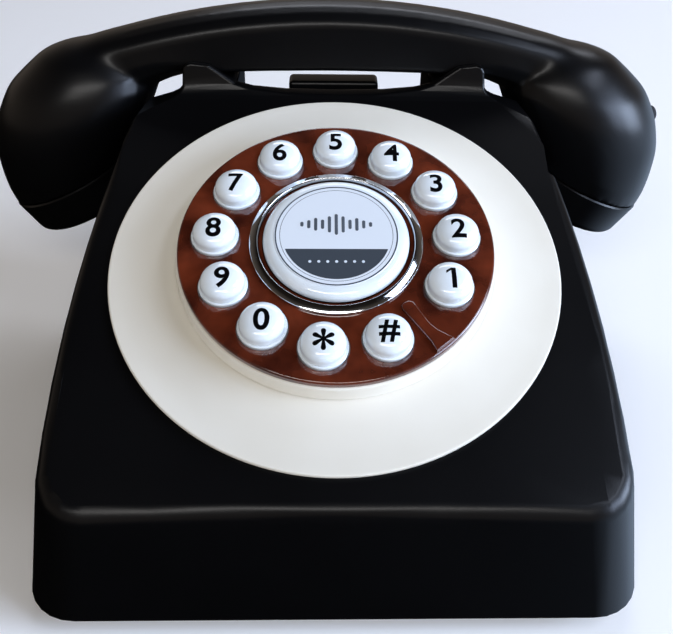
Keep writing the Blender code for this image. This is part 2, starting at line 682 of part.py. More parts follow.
def make_hook_bar():
    """The bar in the cradle, with its stop flange and the stem to the switch."""
    low = hook_sleeve_z() - GAP
    near, rear = HANDSET_Y - HOOK_HALF_DEPTH, HANDSET_Y + HOOK_HALF_DEPTH
    corner_high = (HOOK_HALF_WIDTH, rear, HOOK_TOP_Z)
    bar = box("hook_bar", (-HOOK_HALF_WIDTH, near, low), corner_high, satin_black)
    bevel(bar, HOOK_EDGE_RADIUS, 3)
    lip = HOOK_GUIDE_WALL
    corner_low = (-HOOK_HALF_WIDTH - lip, near - lip, low - lip)
    corner_high = (HOOK_HALF_WIDTH + lip, rear + lip, low)
    combine(bar, box("flange", corner_low, corner_high, satin_black), "UNION")
    bottom = board_top_z() + GAP + HOOK_SWITCH_SIZE[2] + GAP + HOOK_TRAVEL
    corner_low = (-HOOK_STEM_HALF_WIDTH, HANDSET_Y - HOOK_STEM_HALF_DEPTH, bottom)
    corner_high = (HOOK_STEM_HALF_WIDTH, HANDSET_Y + HOOK_STEM_HALF_DEPTH, low - lip / 2)
    combine(bar, box("stem", corner_low, corner_high, satin_black), "UNION")
    smooth(bar)


def make_dial():
    """Cream plate and drum, brown face with its button holes, chrome ring and centre."""
    bottom = GAP - FACE_DEPTH
    edge = bottom + PLATE_EDGE
    seat = edge + PLATE_RISE
    floor = seat - KEY_MAT_THICKNESS
    step = DRUM_RADIUS - DRUM_WALL + GAP
    shoulder = DRUM_RADIUS + DRUM_WALL / 2
    profile = [(PLATE_HOLE_RADIUS, floor), (step, floor), (step, seat), (shoulder, seat)]
    span = PLATE_RADIUS - shoulder
    profile += [(shoulder + span * out, seat - PLATE_RISE * down) for out, down in PLATE_SHARES]
    profile += [(PLATE_RADIUS, edge - PLATE_EDGE / 3), (PLATE_RADIUS, bottom)]
    profile.append((PLATE_HOLE_RADIUS, bottom))
    turned("dial_plate", profile, cream, 48, dial_place(), closed=True)

    under = -FACE_PLATE_THICKNESS
    drum_top = under - GAP
    inner = DRUM_RADIUS - DRUM_WALL
    profile = [(inner, drum_top), (DRUM_RADIUS - GAP, drum_top), (DRUM_RADIUS, drum_top - GAP)]
    profile += [(DRUM_RADIUS, seat + GAP), (inner, seat + GAP)]
    turned("dial_drum", profile, cream, 40, dial_place(), closed=True)
    board = floor + GAP
    mat = board + KEY_BOARD_THICKNESS + GAP
    for name, low, thick, material in (
        ("key_board", board, KEY_BOARD_THICKNESS, board_green),
        ("key_mat", mat, KEY_MAT_THICKNESS, rubber),
    ):
        radius = inner - GAP
        profile = [(0, low + thick), (radius, low + thick), (radius, low), (0, low)]
        turned(name, profile, material, 36, dial_place())

    round_off = FACE_PLATE_THICKNESS / 2
    profile = [(0, 0)]
    for inwards, down in FACE_EDGE_SHARES:
        profile.append((FACE_PLATE_RADIUS - round_off * inwards, -round_off * down))
    profile += [(FACE_PLATE_RADIUS, under), (0, under)]
    face = turned("dial_face", profile, brown, 48, dial_place())
    holes = bmesh.new()
    for across, along in button_places():
        bmesh.ops.create_cone(
            holes,
            cap_ends=True,
            segments=16,
            radius1=BUTTON_FLANGE_RADIUS + GAP,
            radius2=BUTTON_FLANGE_RADIUS + GAP,
            depth=4 * FACE_PLATE_THICKNESS,
            matrix=Matrix.Translation((across, along, 0)),
        )
    combine(face, placed(from_bmesh("button_holes", holes, None, cutter=True), dial_place()))
    combine(face, placed(make_stop(), dial_place()), "UNION")
    settle(face)
    smooth(face)

    middle, half = RING_OUTER_RADIUS - RING_WIDTH / 2, RING_WIDTH / 2
    low = GAP
    profile = [(middle + half * out, low + RING_HEIGHT * up) for out, up in RING_SHARES]
    turned("chrome_ring", profile, chrome, 40, dial_place(), closed=True)

    rim = LABEL_RADIUS + GAP
    top = low + CENTRE_HEIGHT
    profile = [(0, top - LABEL_THICKNESS), (rim, top - LABEL_THICKNESS), (rim, top)]
    outer = CENTRE_RADIUS - rim
    for out, down in CENTRE_SHARES:
        profile.append((rim + outer * out, top - CENTRE_HEIGHT * down))
    profile.append((0, low))
    turned("centre_cap", profile, white, 40, dial_place())
    base = top - LABEL_THICKNESS + GAP
    profile = [(LABEL_RADIUS * out, base + LABEL_THICKNESS * up) for out, up in LABEL_SHARES]
    turned("centre_label", profile, label_grey, 32, dial_place())


def make_stop():
    """The hooked finger stop between two buttons, widening towards the face's edge."""
    inner = RING_OUTER_RADIUS + STOP_TIP_GAP
    reach = FACE_PLATE_RADIUS - FACE_PLATE_THICKNESS - inner
    rings = []
    for height in (-FACE_PLATE_THICKNESS / 2, STOP_HEIGHT):
        ring = []
        for out, steps in STOP_SHARES:
            radius, turn = inner + reach * out, BUTTON_STEP * steps
            ring.append((radius * math.sin(turn), radius * math.cos(turn), height))
        rings.append(ring)
    return loft("finger_stop", rings, brown)


def button_places():
    """Places on the button circle: five at the top, the numbers running backwards."""
    for i in range(len(BUTTON_NAMES)):
        turn = (FIVE_PLACE - i) * BUTTON_STEP
        yield BUTTON_CIRCLE_RADIUS * math.sin(turn), BUTTON_CIRCLE_RADIUS * math.cos(turn)


def make_buttons():
    dome = BUTTON_HEIGHT - BUTTON_FLANGE_HEIGHT
    profile = []
    for out, up in BUTTON_SHARES:
        profile.append((BUTTON_RADIUS * out, BUTTON_FLANGE_HEIGHT + dome * up))
    collar = -FACE_PLATE_THICKNESS - BUTTON_SLACK
    profile += [(BUTTON_FLANGE_RADIUS, BUTTON_FLANGE_HEIGHT), (BUTTON_FLANGE_RADIUS, collar)]
    profile += [(BUTTON_COLLAR_RADIUS, collar), (BUTTON_COLLAR_RADIUS, collar - BUTTON_COLLAR_HEIGHT)]
    profile.append((0, collar - BUTTON_COLLAR_HEIGHT))
    for name, (across, along) in zip(BUTTON_NAMES, button_places()):
        turned("button_" + name, profile, white, 14, dial_place(0, across, along))


def cup_place(side):
    """The frame of a cup's cap: its Z points up and outwards from the seam's centre."""
    x = side * CUP_X + handset_shift()
    return Matrix.Translation((x, HANDSET_Y, CUP_SEAM_Z)) @ Matrix.Rotation(side * CUP_TILT, 4, "Y")


def handset_shift():
    """Centres the handset with its inlet over the base."""
    return -INLET_PROUD / 2


def handle_ring(x):
    top = HANDLE_TOP_Z - x * x / (2 * HANDLE_TOP_ARC)
    ridge = top - HANDLE_RIDGE_DROP
    belly = handle_belly_z(x)
    rounding = HANDLE_BELLY + HANDLE_BELLY_GROWTH * max(0.0, abs(x) - HANDLE_FILLET_X)
    half = [(0, belly)]
    half += [(HANDLE_HALF_DEPTH * out, belly + rounding * up) for out, up in BELLY_SHARES]
    half.append((HANDLE_RIDGE_HALF_DEPTH, ridge))
    for out, up in RIDGE_SHARES:
        half.append((HANDLE_RIDGE_HALF_DEPTH * out, ridge + HANDLE_RIDGE_DROP * up))
    half.append((0, top))
    other = [(-y, z) for y, z in half[-2:0:-1]]
    return [(x + handset_shift(), HANDSET_Y + y, z) for y, z in half + other]


def cup_rings(side):
    """Oval rings from the seam up and over into the handle, as shares of the cup."""
    rings = []
    for out, up, turn_share, half_share, depth_share in CUP_SHARES:
        x, z = CUP_X + CUP_RADIUS * out, CUP_SEAM_Z + CUP_RADIUS * up
        turn = CUP_TILT * turn_share
        half, depth = CUP_RADIUS * half_share, CUP_RADIUS * depth_share
        ring = []
        for i in range(CUP_SIDES):
            angle = 2 * math.pi * i / CUP_SIDES
            reach = half * math.cos(angle)
            ring.append(
                (
                    side * (x + reach * math.cos(turn)) + handset_shift(),
                    HANDSET_Y + depth * math.sin(angle),
                    z + reach * math.sin(turn),
                )
            )
        rings.append(ring)
    return rings


def handle_stations():
    """Where the handle's rings stand, closer together where it meets the cups."""
    xs = [0]
    while xs[-1] < CUP_X - CUP_RADIUS / 5:
        xs.append(xs[-1] + (HANDLE_FILLET_X / 4 if xs[-1] < HANDLE_FILLET_X else CUP_RADIUS / 5))
    return [-x for x in reversed(xs[1:])] + xs


def make_handset():
    grip = loft("handset_grip", [handle_ring(x) for x in handle_stations()], satin_black)
    for side, name in ((-1, "left_cup"), (1, "right_cup")):
        combine(grip, loft(name, cup_rings(side), satin_black), "UNION")
    settle(grip)
    for side, name in ((-1, "left_bore"), (1, "right_bore")):
        bore = rod(name, CUP_BORE_RADIUS, (0, 0, -CUP_RADIUS), (0, 0, CUP_BORE_DEPTH), sides=32)
        combine(grip, placed(bore, cup_place(side)))
    ends = ((-1, "ear_cap", "receiver_capsule"), (1, "mouth_cap", "microphone_capsule"))
    for side, cap_name, capsule_name in ends:
        make_cap(cap_name, cup_place(side))
        top = CUP_BORE_DEPTH - GAP
        profile = [(0, top), (CAPSULE_RADIUS, top)]
        profile += [(CAPSULE_RADIUS, top - CAPSULE_THICKNESS), (0, top - CAPSULE_THICKNESS)]
        turned(capsule_name, profile, steel, 32, cup_place(side))
    make_inlet(grip)
    smooth(grip)


def make_cap(name, place):
    inner = CAP_DEPTH - CAP_WALL
    rim = CUP_RADIUS - CAP_WALL
    profile = [(0, -inner + CAP_DISH), (CAP_FACE_RADIUS - CAP_EDGE_RADIUS - CAP_WALL / 2, -inner)]
    profile += [(CAP_FACE_RADIUS - CAP_WALL, -inner + CAP_EDGE_RADIUS), (rim, -GAP), (CUP_RADIUS, -GAP)]
    for share in CAP_CORNER_SHARES:
        turn = math.pi / 2 * share
        out = CAP_FACE_RADIUS - CAP_EDGE_RADIUS * (1 - math.sin(turn))
        profile.append((out, -CAP_DEPTH + CAP_EDGE_RADIUS * (1 - math.cos(turn))))
    for out, deep in CAP_DISH_SHARES:
        profile.append((CAP_FACE_RADIUS * out, -CAP_DEPTH + CAP_DISH * deep))
    cap = turned(name, profile, satin_black, 32, place)
    holes = bmesh.new()
    spots = [(0, 0)]
    for i in range(6):
        turn = math.pi / 3 * i
        spots.append((SOUND_HOLE_CIRCLE * math.cos(turn), SOUND_HOLE_CIRCLE * math.sin(turn)))
    for x, y in spots:
        bmesh.ops.create_cone(
            holes,
            cap_ends=True,
            segments=8,
            radius1=SOUND_HOLE_RADIUS,
            radius2=SOUND_HOLE_RADIUS,
            depth=CAP_DEPTH,
            matrix=Matrix.Translation((x, y, -CAP_DEPTH)),
        )
    combine(cap, placed(from_bmesh(name + "_holes", holes, None, cutter=True), place))


def make_inlet(grip):
    """The cord's grommet in the mouthpiece cup, pointing outwards and to the rear."""
    out = Vector((math.cos(INLET_TURN), math.sin(INLET_TURN), 0))
    cup_reach = max(point[0] for ring in cup_rings(1) for point in ring) - handset_shift()
    reach = cup_reach + INLET_PROUD - INLET_TIP_RADIUS * math.sin(INLET_TURN)
    along = (reach - CUP_X) / out.x
    tip = Vector((CUP_X + handset_shift(), HANDSET_Y, INLET_Z)) + out * along
    start = tip - out * INLET_LENGTH
    combine(grip, rod("inlet_seat", INLET_RADIUS + GAP, start - out * GAP, tip + out * GAP, sides=20))
    place = Matrix.Translation(start) @ out.to_track_quat("Z", "Y").to_matrix().to_4x4()
    profile = [(INLET_BORE_RADIUS, INLET_LENGTH), (INLET_TIP_RADIUS, INLET_LENGTH)]
    taper = INLET_LENGTH * INLET_TAPER_SHARE
    profile += [(INLET_RADIUS, taper), (INLET_RADIUS, 0), (INLET_BORE_RADIUS, 0)]
    turned("cord_inlet", profile, rubber, 20, place, closed=True)


make_case()
make_base()
make_electronics()
make_hook_bar()
make_dial()
make_buttons()
make_handset()
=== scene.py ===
# Push-button desk telephone used as an audio guest book: the looks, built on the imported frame
import json
import math

import bpy
from mathutils import Matrix, Vector


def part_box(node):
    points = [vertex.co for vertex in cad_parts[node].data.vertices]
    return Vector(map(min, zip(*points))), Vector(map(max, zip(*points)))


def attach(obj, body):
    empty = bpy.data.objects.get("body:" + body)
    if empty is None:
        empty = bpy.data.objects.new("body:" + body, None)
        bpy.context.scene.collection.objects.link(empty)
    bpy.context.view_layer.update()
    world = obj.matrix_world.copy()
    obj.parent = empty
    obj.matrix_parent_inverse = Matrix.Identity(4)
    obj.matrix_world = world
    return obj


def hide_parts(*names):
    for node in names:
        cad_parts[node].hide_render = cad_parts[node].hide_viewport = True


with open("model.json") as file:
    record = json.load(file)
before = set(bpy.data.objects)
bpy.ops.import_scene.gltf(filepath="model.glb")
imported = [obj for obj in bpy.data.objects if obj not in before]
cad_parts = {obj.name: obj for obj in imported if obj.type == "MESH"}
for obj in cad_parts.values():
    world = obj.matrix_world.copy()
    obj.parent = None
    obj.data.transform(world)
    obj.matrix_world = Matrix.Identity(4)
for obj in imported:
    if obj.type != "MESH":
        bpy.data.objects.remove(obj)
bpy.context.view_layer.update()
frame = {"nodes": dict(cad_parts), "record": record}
mm = 0.001
photoWidth, photoHeight = 673, 634
dialLook = {"centre": (0, -22.9, 76.8), "tiltDegrees": 22, "sides": 144}


def deselectAll():
    if bpy.context.mode != "OBJECT":
        bpy.ops.object.mode_set(mode="OBJECT")
    bpy.ops.object.select_all(action="DESELECT")


def activate(piece):
    deselectAll()
    piece.select_set(True)
    bpy.context.view_layer.objects.active = piece


# Materials

def linear(hexColour):
    # an sRGB hex value as the linear values that a shader reads
    shares = [int(hexColour[i : i + 2], 16) / 255 for i in (1, 3, 5)]
    return [c / 12.92 if c <= 0.04045 else ((c + 0.055) / 1.055) ** 2.4 for c in shares] + [1]


def addNode(tree, kind, settings={}, links={}):
    # settings are sockets where the node has one of that name or number, and else its own fields.
    # A mix node takes its two colours at 6 and 7 and gives the blend at 2
    node = tree.nodes.new(kind)
    for name, value in settings.items():
        if isinstance(name, int) or name in node.inputs:
            node.inputs[name].default_value = value
        else:
            setattr(node, name, value)
    for name, source in links.items():
        tree.links.new(source, node.inputs[name])
    return node


def newMaterial(name, settings):
    made = bpy.data.materials.new(name)
    made.use_nodes = True
    tree = made.node_tree
    shader = tree.nodes["Principled BSDF"]
    for socket, value in settings.items():
        shader.inputs[socket].default_value = value
    place = addNode(tree, "ShaderNodeTexCoord").outputs["Object"]
    return made, tree, shader, place


def perMetre(sizeInMm):
    # the texture scale that gives features of that size
    return 1 / (sizeInMm * mm)


def roughenSurface(tree, shader, place, share, look):
    # gloss that drifts with the given share, and the fine grain of the surface
    low, high = look["rough"]
    rough = addNode(tree, "ShaderNodeMapRange", {"To Min": low, "To Max": high}, {"Value": share})
    grain = addNode(tree, "ShaderNodeTexNoise", {"Scale": perMetre(look["grainMm"])}, {"Vector": place})
    depth = {"Distance": look["grainDepthMm"] * mm}
    bump = addNode(tree, "ShaderNodeBump", depth, {"Height": grain.outputs["Fac"]})
    tree.links.new(rough.outputs[0], shader.inputs["Roughness"])
    tree.links.new(bump.outputs[0], shader.inputs["Normal"])


blackPlasticLook = {
    "colour": "#040405",
    "worn": "#070708",
    "dust": "#6f7276",
    "specular": 0.24,
    "rough": (0.29, 0.34),
    "grainMm": 0.5,
    "grainDepthMm": 0.012,
    "patchMm": 34,
    "speckCellMm": 9,
    "speckShare": 0.02,
    "speckedCells": 0.35,
}


def makeBlackPlastic(look):
    # satin ABS from a spark-eroded mould: a fine grain that blurs reflections, with stray dust.
    # The real grain is about 0.1 mm and is drawn coarser, so that it shows
    made, tree, shader, place = newMaterial("satinBlackAbs", {"Specular IOR Level": look["specular"]})
    patch = addNode(tree, "ShaderNodeTexNoise", {"Scale": perMetre(look["patchMm"])}, {"Vector": place})
    blend = {"data_type": "RGBA", 6: linear(look["colour"]), 7: linear(look["worn"])}
    body = addNode(tree, "ShaderNodeMix", blend, {"Factor": patch.outputs["Fac"]})
    cells = {"Scale": perMetre(look["speckCellMm"]), "feature": "F1"}
    cell = addNode(tree, "ShaderNodeTexVoronoi", cells, {"Vector": place})
    small = {"operation": "LESS_THAN", 1: look["speckShare"]}
    speck = addNode(tree, "ShaderNodeMath", small, {0: cell.outputs["Distance"]})
    chance = addNode(tree, "ShaderNodeSeparateColor", {}, {"Color": cell.outputs["Color"]})
    few = {"operation": "LESS_THAN", 1: look["speckedCells"]}
    rare = addNode(tree, "ShaderNodeMath", few, {0: chance.outputs["Red"]})
    both = {0: speck.outputs[0], 1: rare.outputs[0]}
    dust = addNode(tree, "ShaderNodeMath", {"operation": "MULTIPLY"}, both)
    overBody = {"Factor": dust.outputs[0], 6: body.outputs[2]}
    dusty = addNode(tree, "ShaderNodeMix", {"data_type": "RGBA", 7: linear(look["dust"])}, overBody)
    tree.links.new(dusty.outputs[2], shader.inputs["Base Color"])
    roughenSurface(tree, shader, place, patch.outputs["Fac"], look)
    return made


# the share of the noise that fills the drift from one colour to the other
mottleRange = {"From Min": 0.3, "From Max": 0.7}


def makeMottled(name, look):
    # a plain moulded or printed surface whose colour and gloss drift a little
    made, tree, shader, place = newMaterial(name, look["shader"])
    sizes = {"Scale": perMetre(look["patchMm"]), "Detail": 3}
    patch = addNode(tree, "ShaderNodeTexNoise", sizes, {"Vector": place})
    spread = addNode(tree, "ShaderNodeMapRange", mottleRange, {"Value": patch.outputs["Fac"]})
    first, second = look["colours"]
    blend = {"data_type": "RGBA", 6: linear(first), 7: linear(second)}
    colour = addNode(tree, "ShaderNodeMix", blend, {"Factor": spread.outputs[0]})
    tree.links.new(colour.outputs[2], shader.inputs["Base Color"])
    roughenSurface(tree, shader, place, patch.outputs["Fac"], look)
    return made


mottledLooks = {
    # satin moulded ABS in cream
    "creamAbs": {
        "colours": ("#dfdacc", "#e6e2d6"), "rough": (0.36, 0.44), "patchMm": 40,
        "grainMm": 0.8, "grainDepthMm": 0.008, "shader": {"Specular IOR Level": 0.45},
    },
    # lacquered brown styrene: a clear coat over a brown that drifts between dark and mid in patches
    "glossyBrownStyrene": {
        "colours": ("#240a07", "#70301b"), "rough": (0.14, 0.2), "patchMm": 13,
        "grainMm": 8, "grainDepthMm": 0.09,
        "shader": {"Coat Weight": 1.0, "Coat Roughness": 0.03, "Specular IOR Level": 0.5},
    },
    # high-gloss white ABS with a faint cool tint
    "glossyWhiteAbs": {
        "colours": ("#dce6ec", "#e6edf1"), "rough": (0.10, 0.15), "patchMm": 8,
        "grainMm": 3, "grainDepthMm": 0.004, "shader": {"Coat Weight": 0.5, "Coat Roughness": 0.04},
    },
    # chromium plate on plastic: a mirror with faint waves
    "chromePlate": {
        "colours": ("#cfd2d6", "#dfe1e4"), "rough": (0.04, 0.09), "patchMm": 5,
        "grainMm": 4, "grainDepthMm": 0.01, "shader": {"Metallic": 1.0},
    },
    # screen-printed inks: pale and slate under the label's lacquer, black and matt on the buttons; the
    # black also colours the ring of painted shade round the foot of the white centre
    "paleInk": {
        "colours": ("#cdd8e4", "#d9e2eb"), "rough": (0.25, 0.32), "patchMm": 9,
        "grainMm": 0.4, "grainDepthMm": 0.004, "shader": {"Coat Weight": 0.3, "Coat Roughness": 0.08},
    },
    "slateInk": {
        "colours": ("#474e56", "#525a63"), "rough": (0.28, 0.36), "patchMm": 6,
        "grainMm": 0.4, "grainDepthMm": 0.004, "shader": {"Coat Weight": 0.3, "Coat Roughness": 0.08},
    },
    "blackInkAndShade": {
        "colours": ("#020203", "#040406"), "rough": (0.6, 0.7), "patchMm": 4,
        "grainMm": 0.4, "grainDepthMm": 0.003, "shader": {"Specular IOR Level": 0.03},
    },
    # moulded rubber with a soft bloom
    "darkRubber": {
        "colours": ("#17171a", "#242428"), "rough": (0.7, 0.85), "patchMm": 5,
        "grainMm": 0.6, "grainDepthMm": 0.03, "shader": {"Specular IOR Level": 0.3},
    },
    # zinc-plated steel: small grey crystals
    "zincSteel": {
        "colours": ("#a2a5a8", "#bfc2c4"), "rough": (0.3, 0.45), "patchMm": 1.6,
        "grainMm": 0.5, "grainDepthMm": 0.01, "shader": {"Metallic": 1.0},
    },
    # fibreglass board under green solder mask
    "circuitBoard": {
        "colours": ("#12402a", "#1d5a3a"), "rough": (0.35, 0.5), "patchMm": 2.5,
        "grainMm": 0.7, "grainDepthMm": 0.01, "shader": {"Specular IOR Level": 0.5},
    },
}

labelFilmLook = {
    "paper": "#dbe2e9", "ink": "#3c434b", "rough": (0.28, 0.34),
    "shader": {"Coat Weight": 0.4, "Coat Roughness": 0.06},
    # a ring is its radius and half its width, in mm
    "outerRing": (16.75, 0.2), "innerRing": (15.55, 0.07), "segmentRadius": 14.9, "segmentTop": -5.0,
}


def makeLabelFilm(look):
    # printed film under clear lacquer: two dark rings and a slate segment, by their place on the dial
    made, tree, shader, place = newMaterial("labelFilm", look["shader"])
    tilt = math.radians(-dialLook["tiltDegrees"])
    shift = Matrix.Rotation(tilt, 4, "X") @ (-Vector(dialLook["centre"]) * mm)
    settings = {"Location": shift, "Rotation": (tilt, 0, 0)}
    onDial = addNode(tree, "ShaderNodeMapping", settings, {"Vector": place})
    level = {"operation": "MULTIPLY", 1: (1, 1, 0)}
    flat = addNode(tree, "ShaderNodeVectorMath", level, {0: onDial.outputs["Vector"]})
    length = addNode(tree, "ShaderNodeVectorMath", {"operation": "LENGTH"}, {0: flat.outputs["Vector"]})
    radius = length.outputs["Value"]
    along = addNode(tree, "ShaderNodeSeparateXYZ", {}, {"Vector": flat.outputs["Vector"]}).outputs["Y"]
    inside = {"operation": "LESS_THAN", 1: look["segmentRadius"] * mm}
    within = addNode(tree, "ShaderNodeMath", inside, {0: radius}).outputs[0]
    under = {"operation": "LESS_THAN", 1: look["segmentTop"] * mm}
    below = addNode(tree, "ShaderNodeMath", under, {0: along}).outputs[0]
    inked = addNode(tree, "ShaderNodeMath", {"operation": "MULTIPLY"}, {0: within, 1: below}).outputs[0]
    for middle, half in (look["outerRing"], look["innerRing"]):
        band = {"operation": "COMPARE", 1: middle * mm, 2: half * mm}
        ring = addNode(tree, "ShaderNodeMath", band, {0: radius}).outputs[0]
        inked = addNode(tree, "ShaderNodeMath", {"operation": "MAXIMUM"}, {0: inked, 1: ring}).outputs[0]
    blend = {"data_type": "RGBA", 6: linear(look["paper"]), 7: linear(look["ink"])}
    colour = addNode(tree, "ShaderNodeMix", blend, {"Factor": inked})
    tree.links.new(colour.outputs[2], shader.inputs["Base Color"])
    low, high = look["rough"]
    rough = addNode(tree, "ShaderNodeMapRange", {"To Min": low, "To Max": high}, {"Value": inked})
    tree.links.new(rough.outputs[0], shader.inputs["Roughness"])
    return made


finishes = {name: makeMottled(name, look) for name, look in mottledLooks.items()}
finishes["labelFilm"] = makeLabelFilm(labelFilmLook)
finishes["satinBlackAbs"] = makeBlackPlastic(blackPlasticLook)
slotFinishes = {
    "satin_black": "satinBlackAbs", "cream": "creamAbs", "glossy_brown": "glossyBrownStyrene",
    "glossy_white": "glossyWhiteAbs", "chrome": "chromePlate", "label_grey": "labelFilm",
    "dark_rubber": "darkRubber", "zinc_steel": "zincSteel", "circuit_board": "circuitBoard",
}
print("stage: materials")


# Camera, floor and light

# fitted to the picture: the lens and its axis in picture pixels, the place in mm, the angles in radians
cameraLook = {
    "sensorMm": 36,
    "focalPixels": 900,
    "axisPixel": (342.93, 232.05),
    "place": (-4.41, -236.11, 207.03),
    "pitch": 0.5375,
    "yaw": 0.0251,
    "roll": 0.0038,
}


def makeCamera(look):
    pitch = Matrix.Rotation(math.pi / 2 - look["pitch"], 4, "X")
    yaw = Matrix.Rotation(-look["yaw"], 4, "Y")
    roll = Matrix.Rotation(look["roll"], 4, "Z")
    bpy.ops.object.camera_add()
    camera = bpy.context.object
    camera.name = "photoCamera"
    camera.matrix_world = Matrix.Translation(Vector(look["place"]) * mm) @ pitch @ yaw @ roll
    lens = camera.data
    lens.sensor_width = look["sensorMm"]
    lens.lens = look["focalPixels"] * lens.sensor_width / photoWidth
    lens.shift_x = (photoWidth / 2 - look["axisPixel"][0]) / photoWidth
    lens.shift_y = (look["axisPixel"][1] - photoHeight / 2) / photoWidth
    bpy.context.scene.camera = camera


# sizes and distances of the floor and the lights are in metres
stageLook = {
    "floorSize": 8,
    "floorColours": ("#f6f5f3", "#fbfaf8"),
    "floorShader": {"Roughness": 0.8, "Specular IOR Level": 0.1},
    "floorCloudScale": 1.5,
    "aimHeightMm": 60,
    "worldRamp": ((0.46, "#0c0b0a"), (0.52, "#a3968a"), (0.68, "#857a70"), (0.9, "#1b1714")),
    "worldStrength": 1.0,
    "sheenColour": "#a9bdd8",
    "sheenGain": 2.2,
    "sheenAcross": {"From Min": 0.3, "From Max": 0.8},
    "sheenHeight": {"From Min": 0.18, "From Max": -0.1},
    "lights": (
        # name, azimuth from the front to the right, elevation, distance, width, height, watts, colour
        ("keyWindow", 68, 20, 1.5, 0.9, 0.6, 21, "#cbdeff"),
        ("windowCore", 82, 12, 1.5, 0.6, 0.5, 13, "#cfe2ff"),
        ("rimGlow", 74, 50, 1.6, 0.8, 0.3, 7, "#dbe7ff"),
        ("frontGlow", -5, 42, 1.7, 1.3, 0.25, 12, "#f4f2f0"),
        ("rearGlow", 168, 42, 1.8, 1.5, 0.35, 10, "#eef3ff"),
    ),
}


def makeStage(look):
    bpy.ops.mesh.primitive_grid_add(x_subdivisions=4, y_subdivisions=4, size=look["floorSize"])
    floor = bpy.context.object
    floor.name = "floor"
    made, tree, shader, place = newMaterial("paleFloor", look["floorShader"])
    cloud = addNode(tree, "ShaderNodeTexNoise", {"Scale": look["floorCloudScale"]}, {"Vector": place})
    first, second = look["floorColours"]
    blend = {"data_type": "RGBA", 6: linear(first), 7: linear(second)}
    colour = addNode(tree, "ShaderNodeMix", blend, {"Factor": cloud.outputs["Fac"]})
    tree.links.new(colour.outputs[2], shader.inputs["Base Color"])
    floor.data.materials.append(made)
    # the phone stood on darker ground than this floor, so no gloss mirrors it
    floor.visible_glossy = False
    world = bpy.data.worlds.new("studio")
    bpy.context.scene.world = world
    world.use_nodes = True
    tree = world.node_tree
    back = tree.nodes["Background"]
    back.inputs["Strength"].default_value = look["worldStrength"]
    way = addNode(tree, "ShaderNodeTexCoord").outputs["Generated"]
    split = addNode(tree, "ShaderNodeSeparateXYZ", {}, {"Vector": way})
    # straight down is 0 on the ramp, the horizon 0.5 and straight up 1
    halve = {"operation": "MULTIPLY_ADD", 1: 0.5, 2: 0.5}
    share = addNode(tree, "ShaderNodeMath", halve, {0: split.outputs["Z"]})
    shade = addNode(tree, "ShaderNodeValToRGB", {}, {"Fac": share.outputs[0]})
    # a new ramp has two steps
    for i in range(len(look["worldRamp"]) - 2):
        shade.color_ramp.elements.new(0.5)
    for step, (position, colour) in zip(shade.color_ramp.elements, look["worldRamp"]):
        step.position, step.color = position, linear(colour)
    # low on the right, the sheen of the window on the ground
    side = addNode(tree, "ShaderNodeMapRange", look["sheenAcross"], {"Value": split.outputs["X"]})
    low = addNode(tree, "ShaderNodeMapRange", look["sheenHeight"], {"Value": split.outputs["Z"]})
    both = {0: side.outputs[0], 1: low.outputs[0]}
    lit = addNode(tree, "ShaderNodeMath", {"operation": "MULTIPLY"}, both)
    sheen = [c * look["sheenGain"] for c in linear(look["sheenColour"])]
    overShade = {"Factor": lit.outputs[0], 6: shade.outputs["Color"]}
    mix = addNode(tree, "ShaderNodeMix", {"data_type": "RGBA", 7: sheen}, overShade)
    tree.links.new(mix.outputs[2], back.inputs["Color"])
    aim = Vector((0, 0, look["aimHeightMm"] * mm))
    for name, azimuth, elevation, distance, width, height, watts, colour in look["lights"]:
        turn, rise = math.radians(azimuth), math.radians(elevation)
        way = Vector((math.sin(turn) * math.cos(rise), -math.cos(turn) * math.cos(rise), math.sin(rise)))
        bpy.ops.object.light_add(type="AREA", location=aim + way * distance)
        light = bpy.context.object
        light.name = name
        light.rotation_euler = way.to_track_quat("Z", "Y").to_euler()
        light.data.shape = "RECTANGLE"
        light.data.size, light.data.size_y = width, height
        light.data.energy = watts
        light.data.color = linear(colour)[:3]


makeCamera(cameraLook)
makeStage(stageLook)
bpy.context.scene.view_settings.view_transform = "Standard"
print("stage: camera, floor and light")


# Pieces: helpers

# the small circle, in mm, on which a turned piece closes at its axis
poleRadius = 0.4


def dialPlace(height=0, across=0, along=0):
    # the dial's own frame: z along its axis, zero on the brown face
    turn = Matrix.Rotation(math.radians(dialLook["tiltDegrees"]), 4, "X")
    within = Matrix.Translation(Vector((across, along, height)) * mm)
    return Matrix.Translation(Vector(dialLook["centre"]) * mm) @ turn @ within


def smoothByAngle(piece, degrees=30):
    activate(piece)
    bpy.ops.object.shade_smooth_by_angle(angle=math.radians(degrees))


def applyModifier(piece, kind, settings):
    activate(piece)
    modifier = piece.modifiers.new(kind.lower(), kind)
    for name, value in settings.items():
        setattr(modifier, name, value)
    bpy.ops.object.modifier_apply(modifier=modifier.name)


def weighNormals(piece):
    # flat faces keep their shading beside a rounded edge
    applyModifier(piece, "WEIGHTED_NORMAL", {"keep_sharp": True, "weight": 60})


def bevelByAngle(piece, radius, degrees):
    limit = math.radians(degrees)
    settings = {"width": radius * mm, "segments": 2, "limit_method": "ANGLE", "angle_limit": limit}
    applyModifier(piece, "BEVEL", settings)


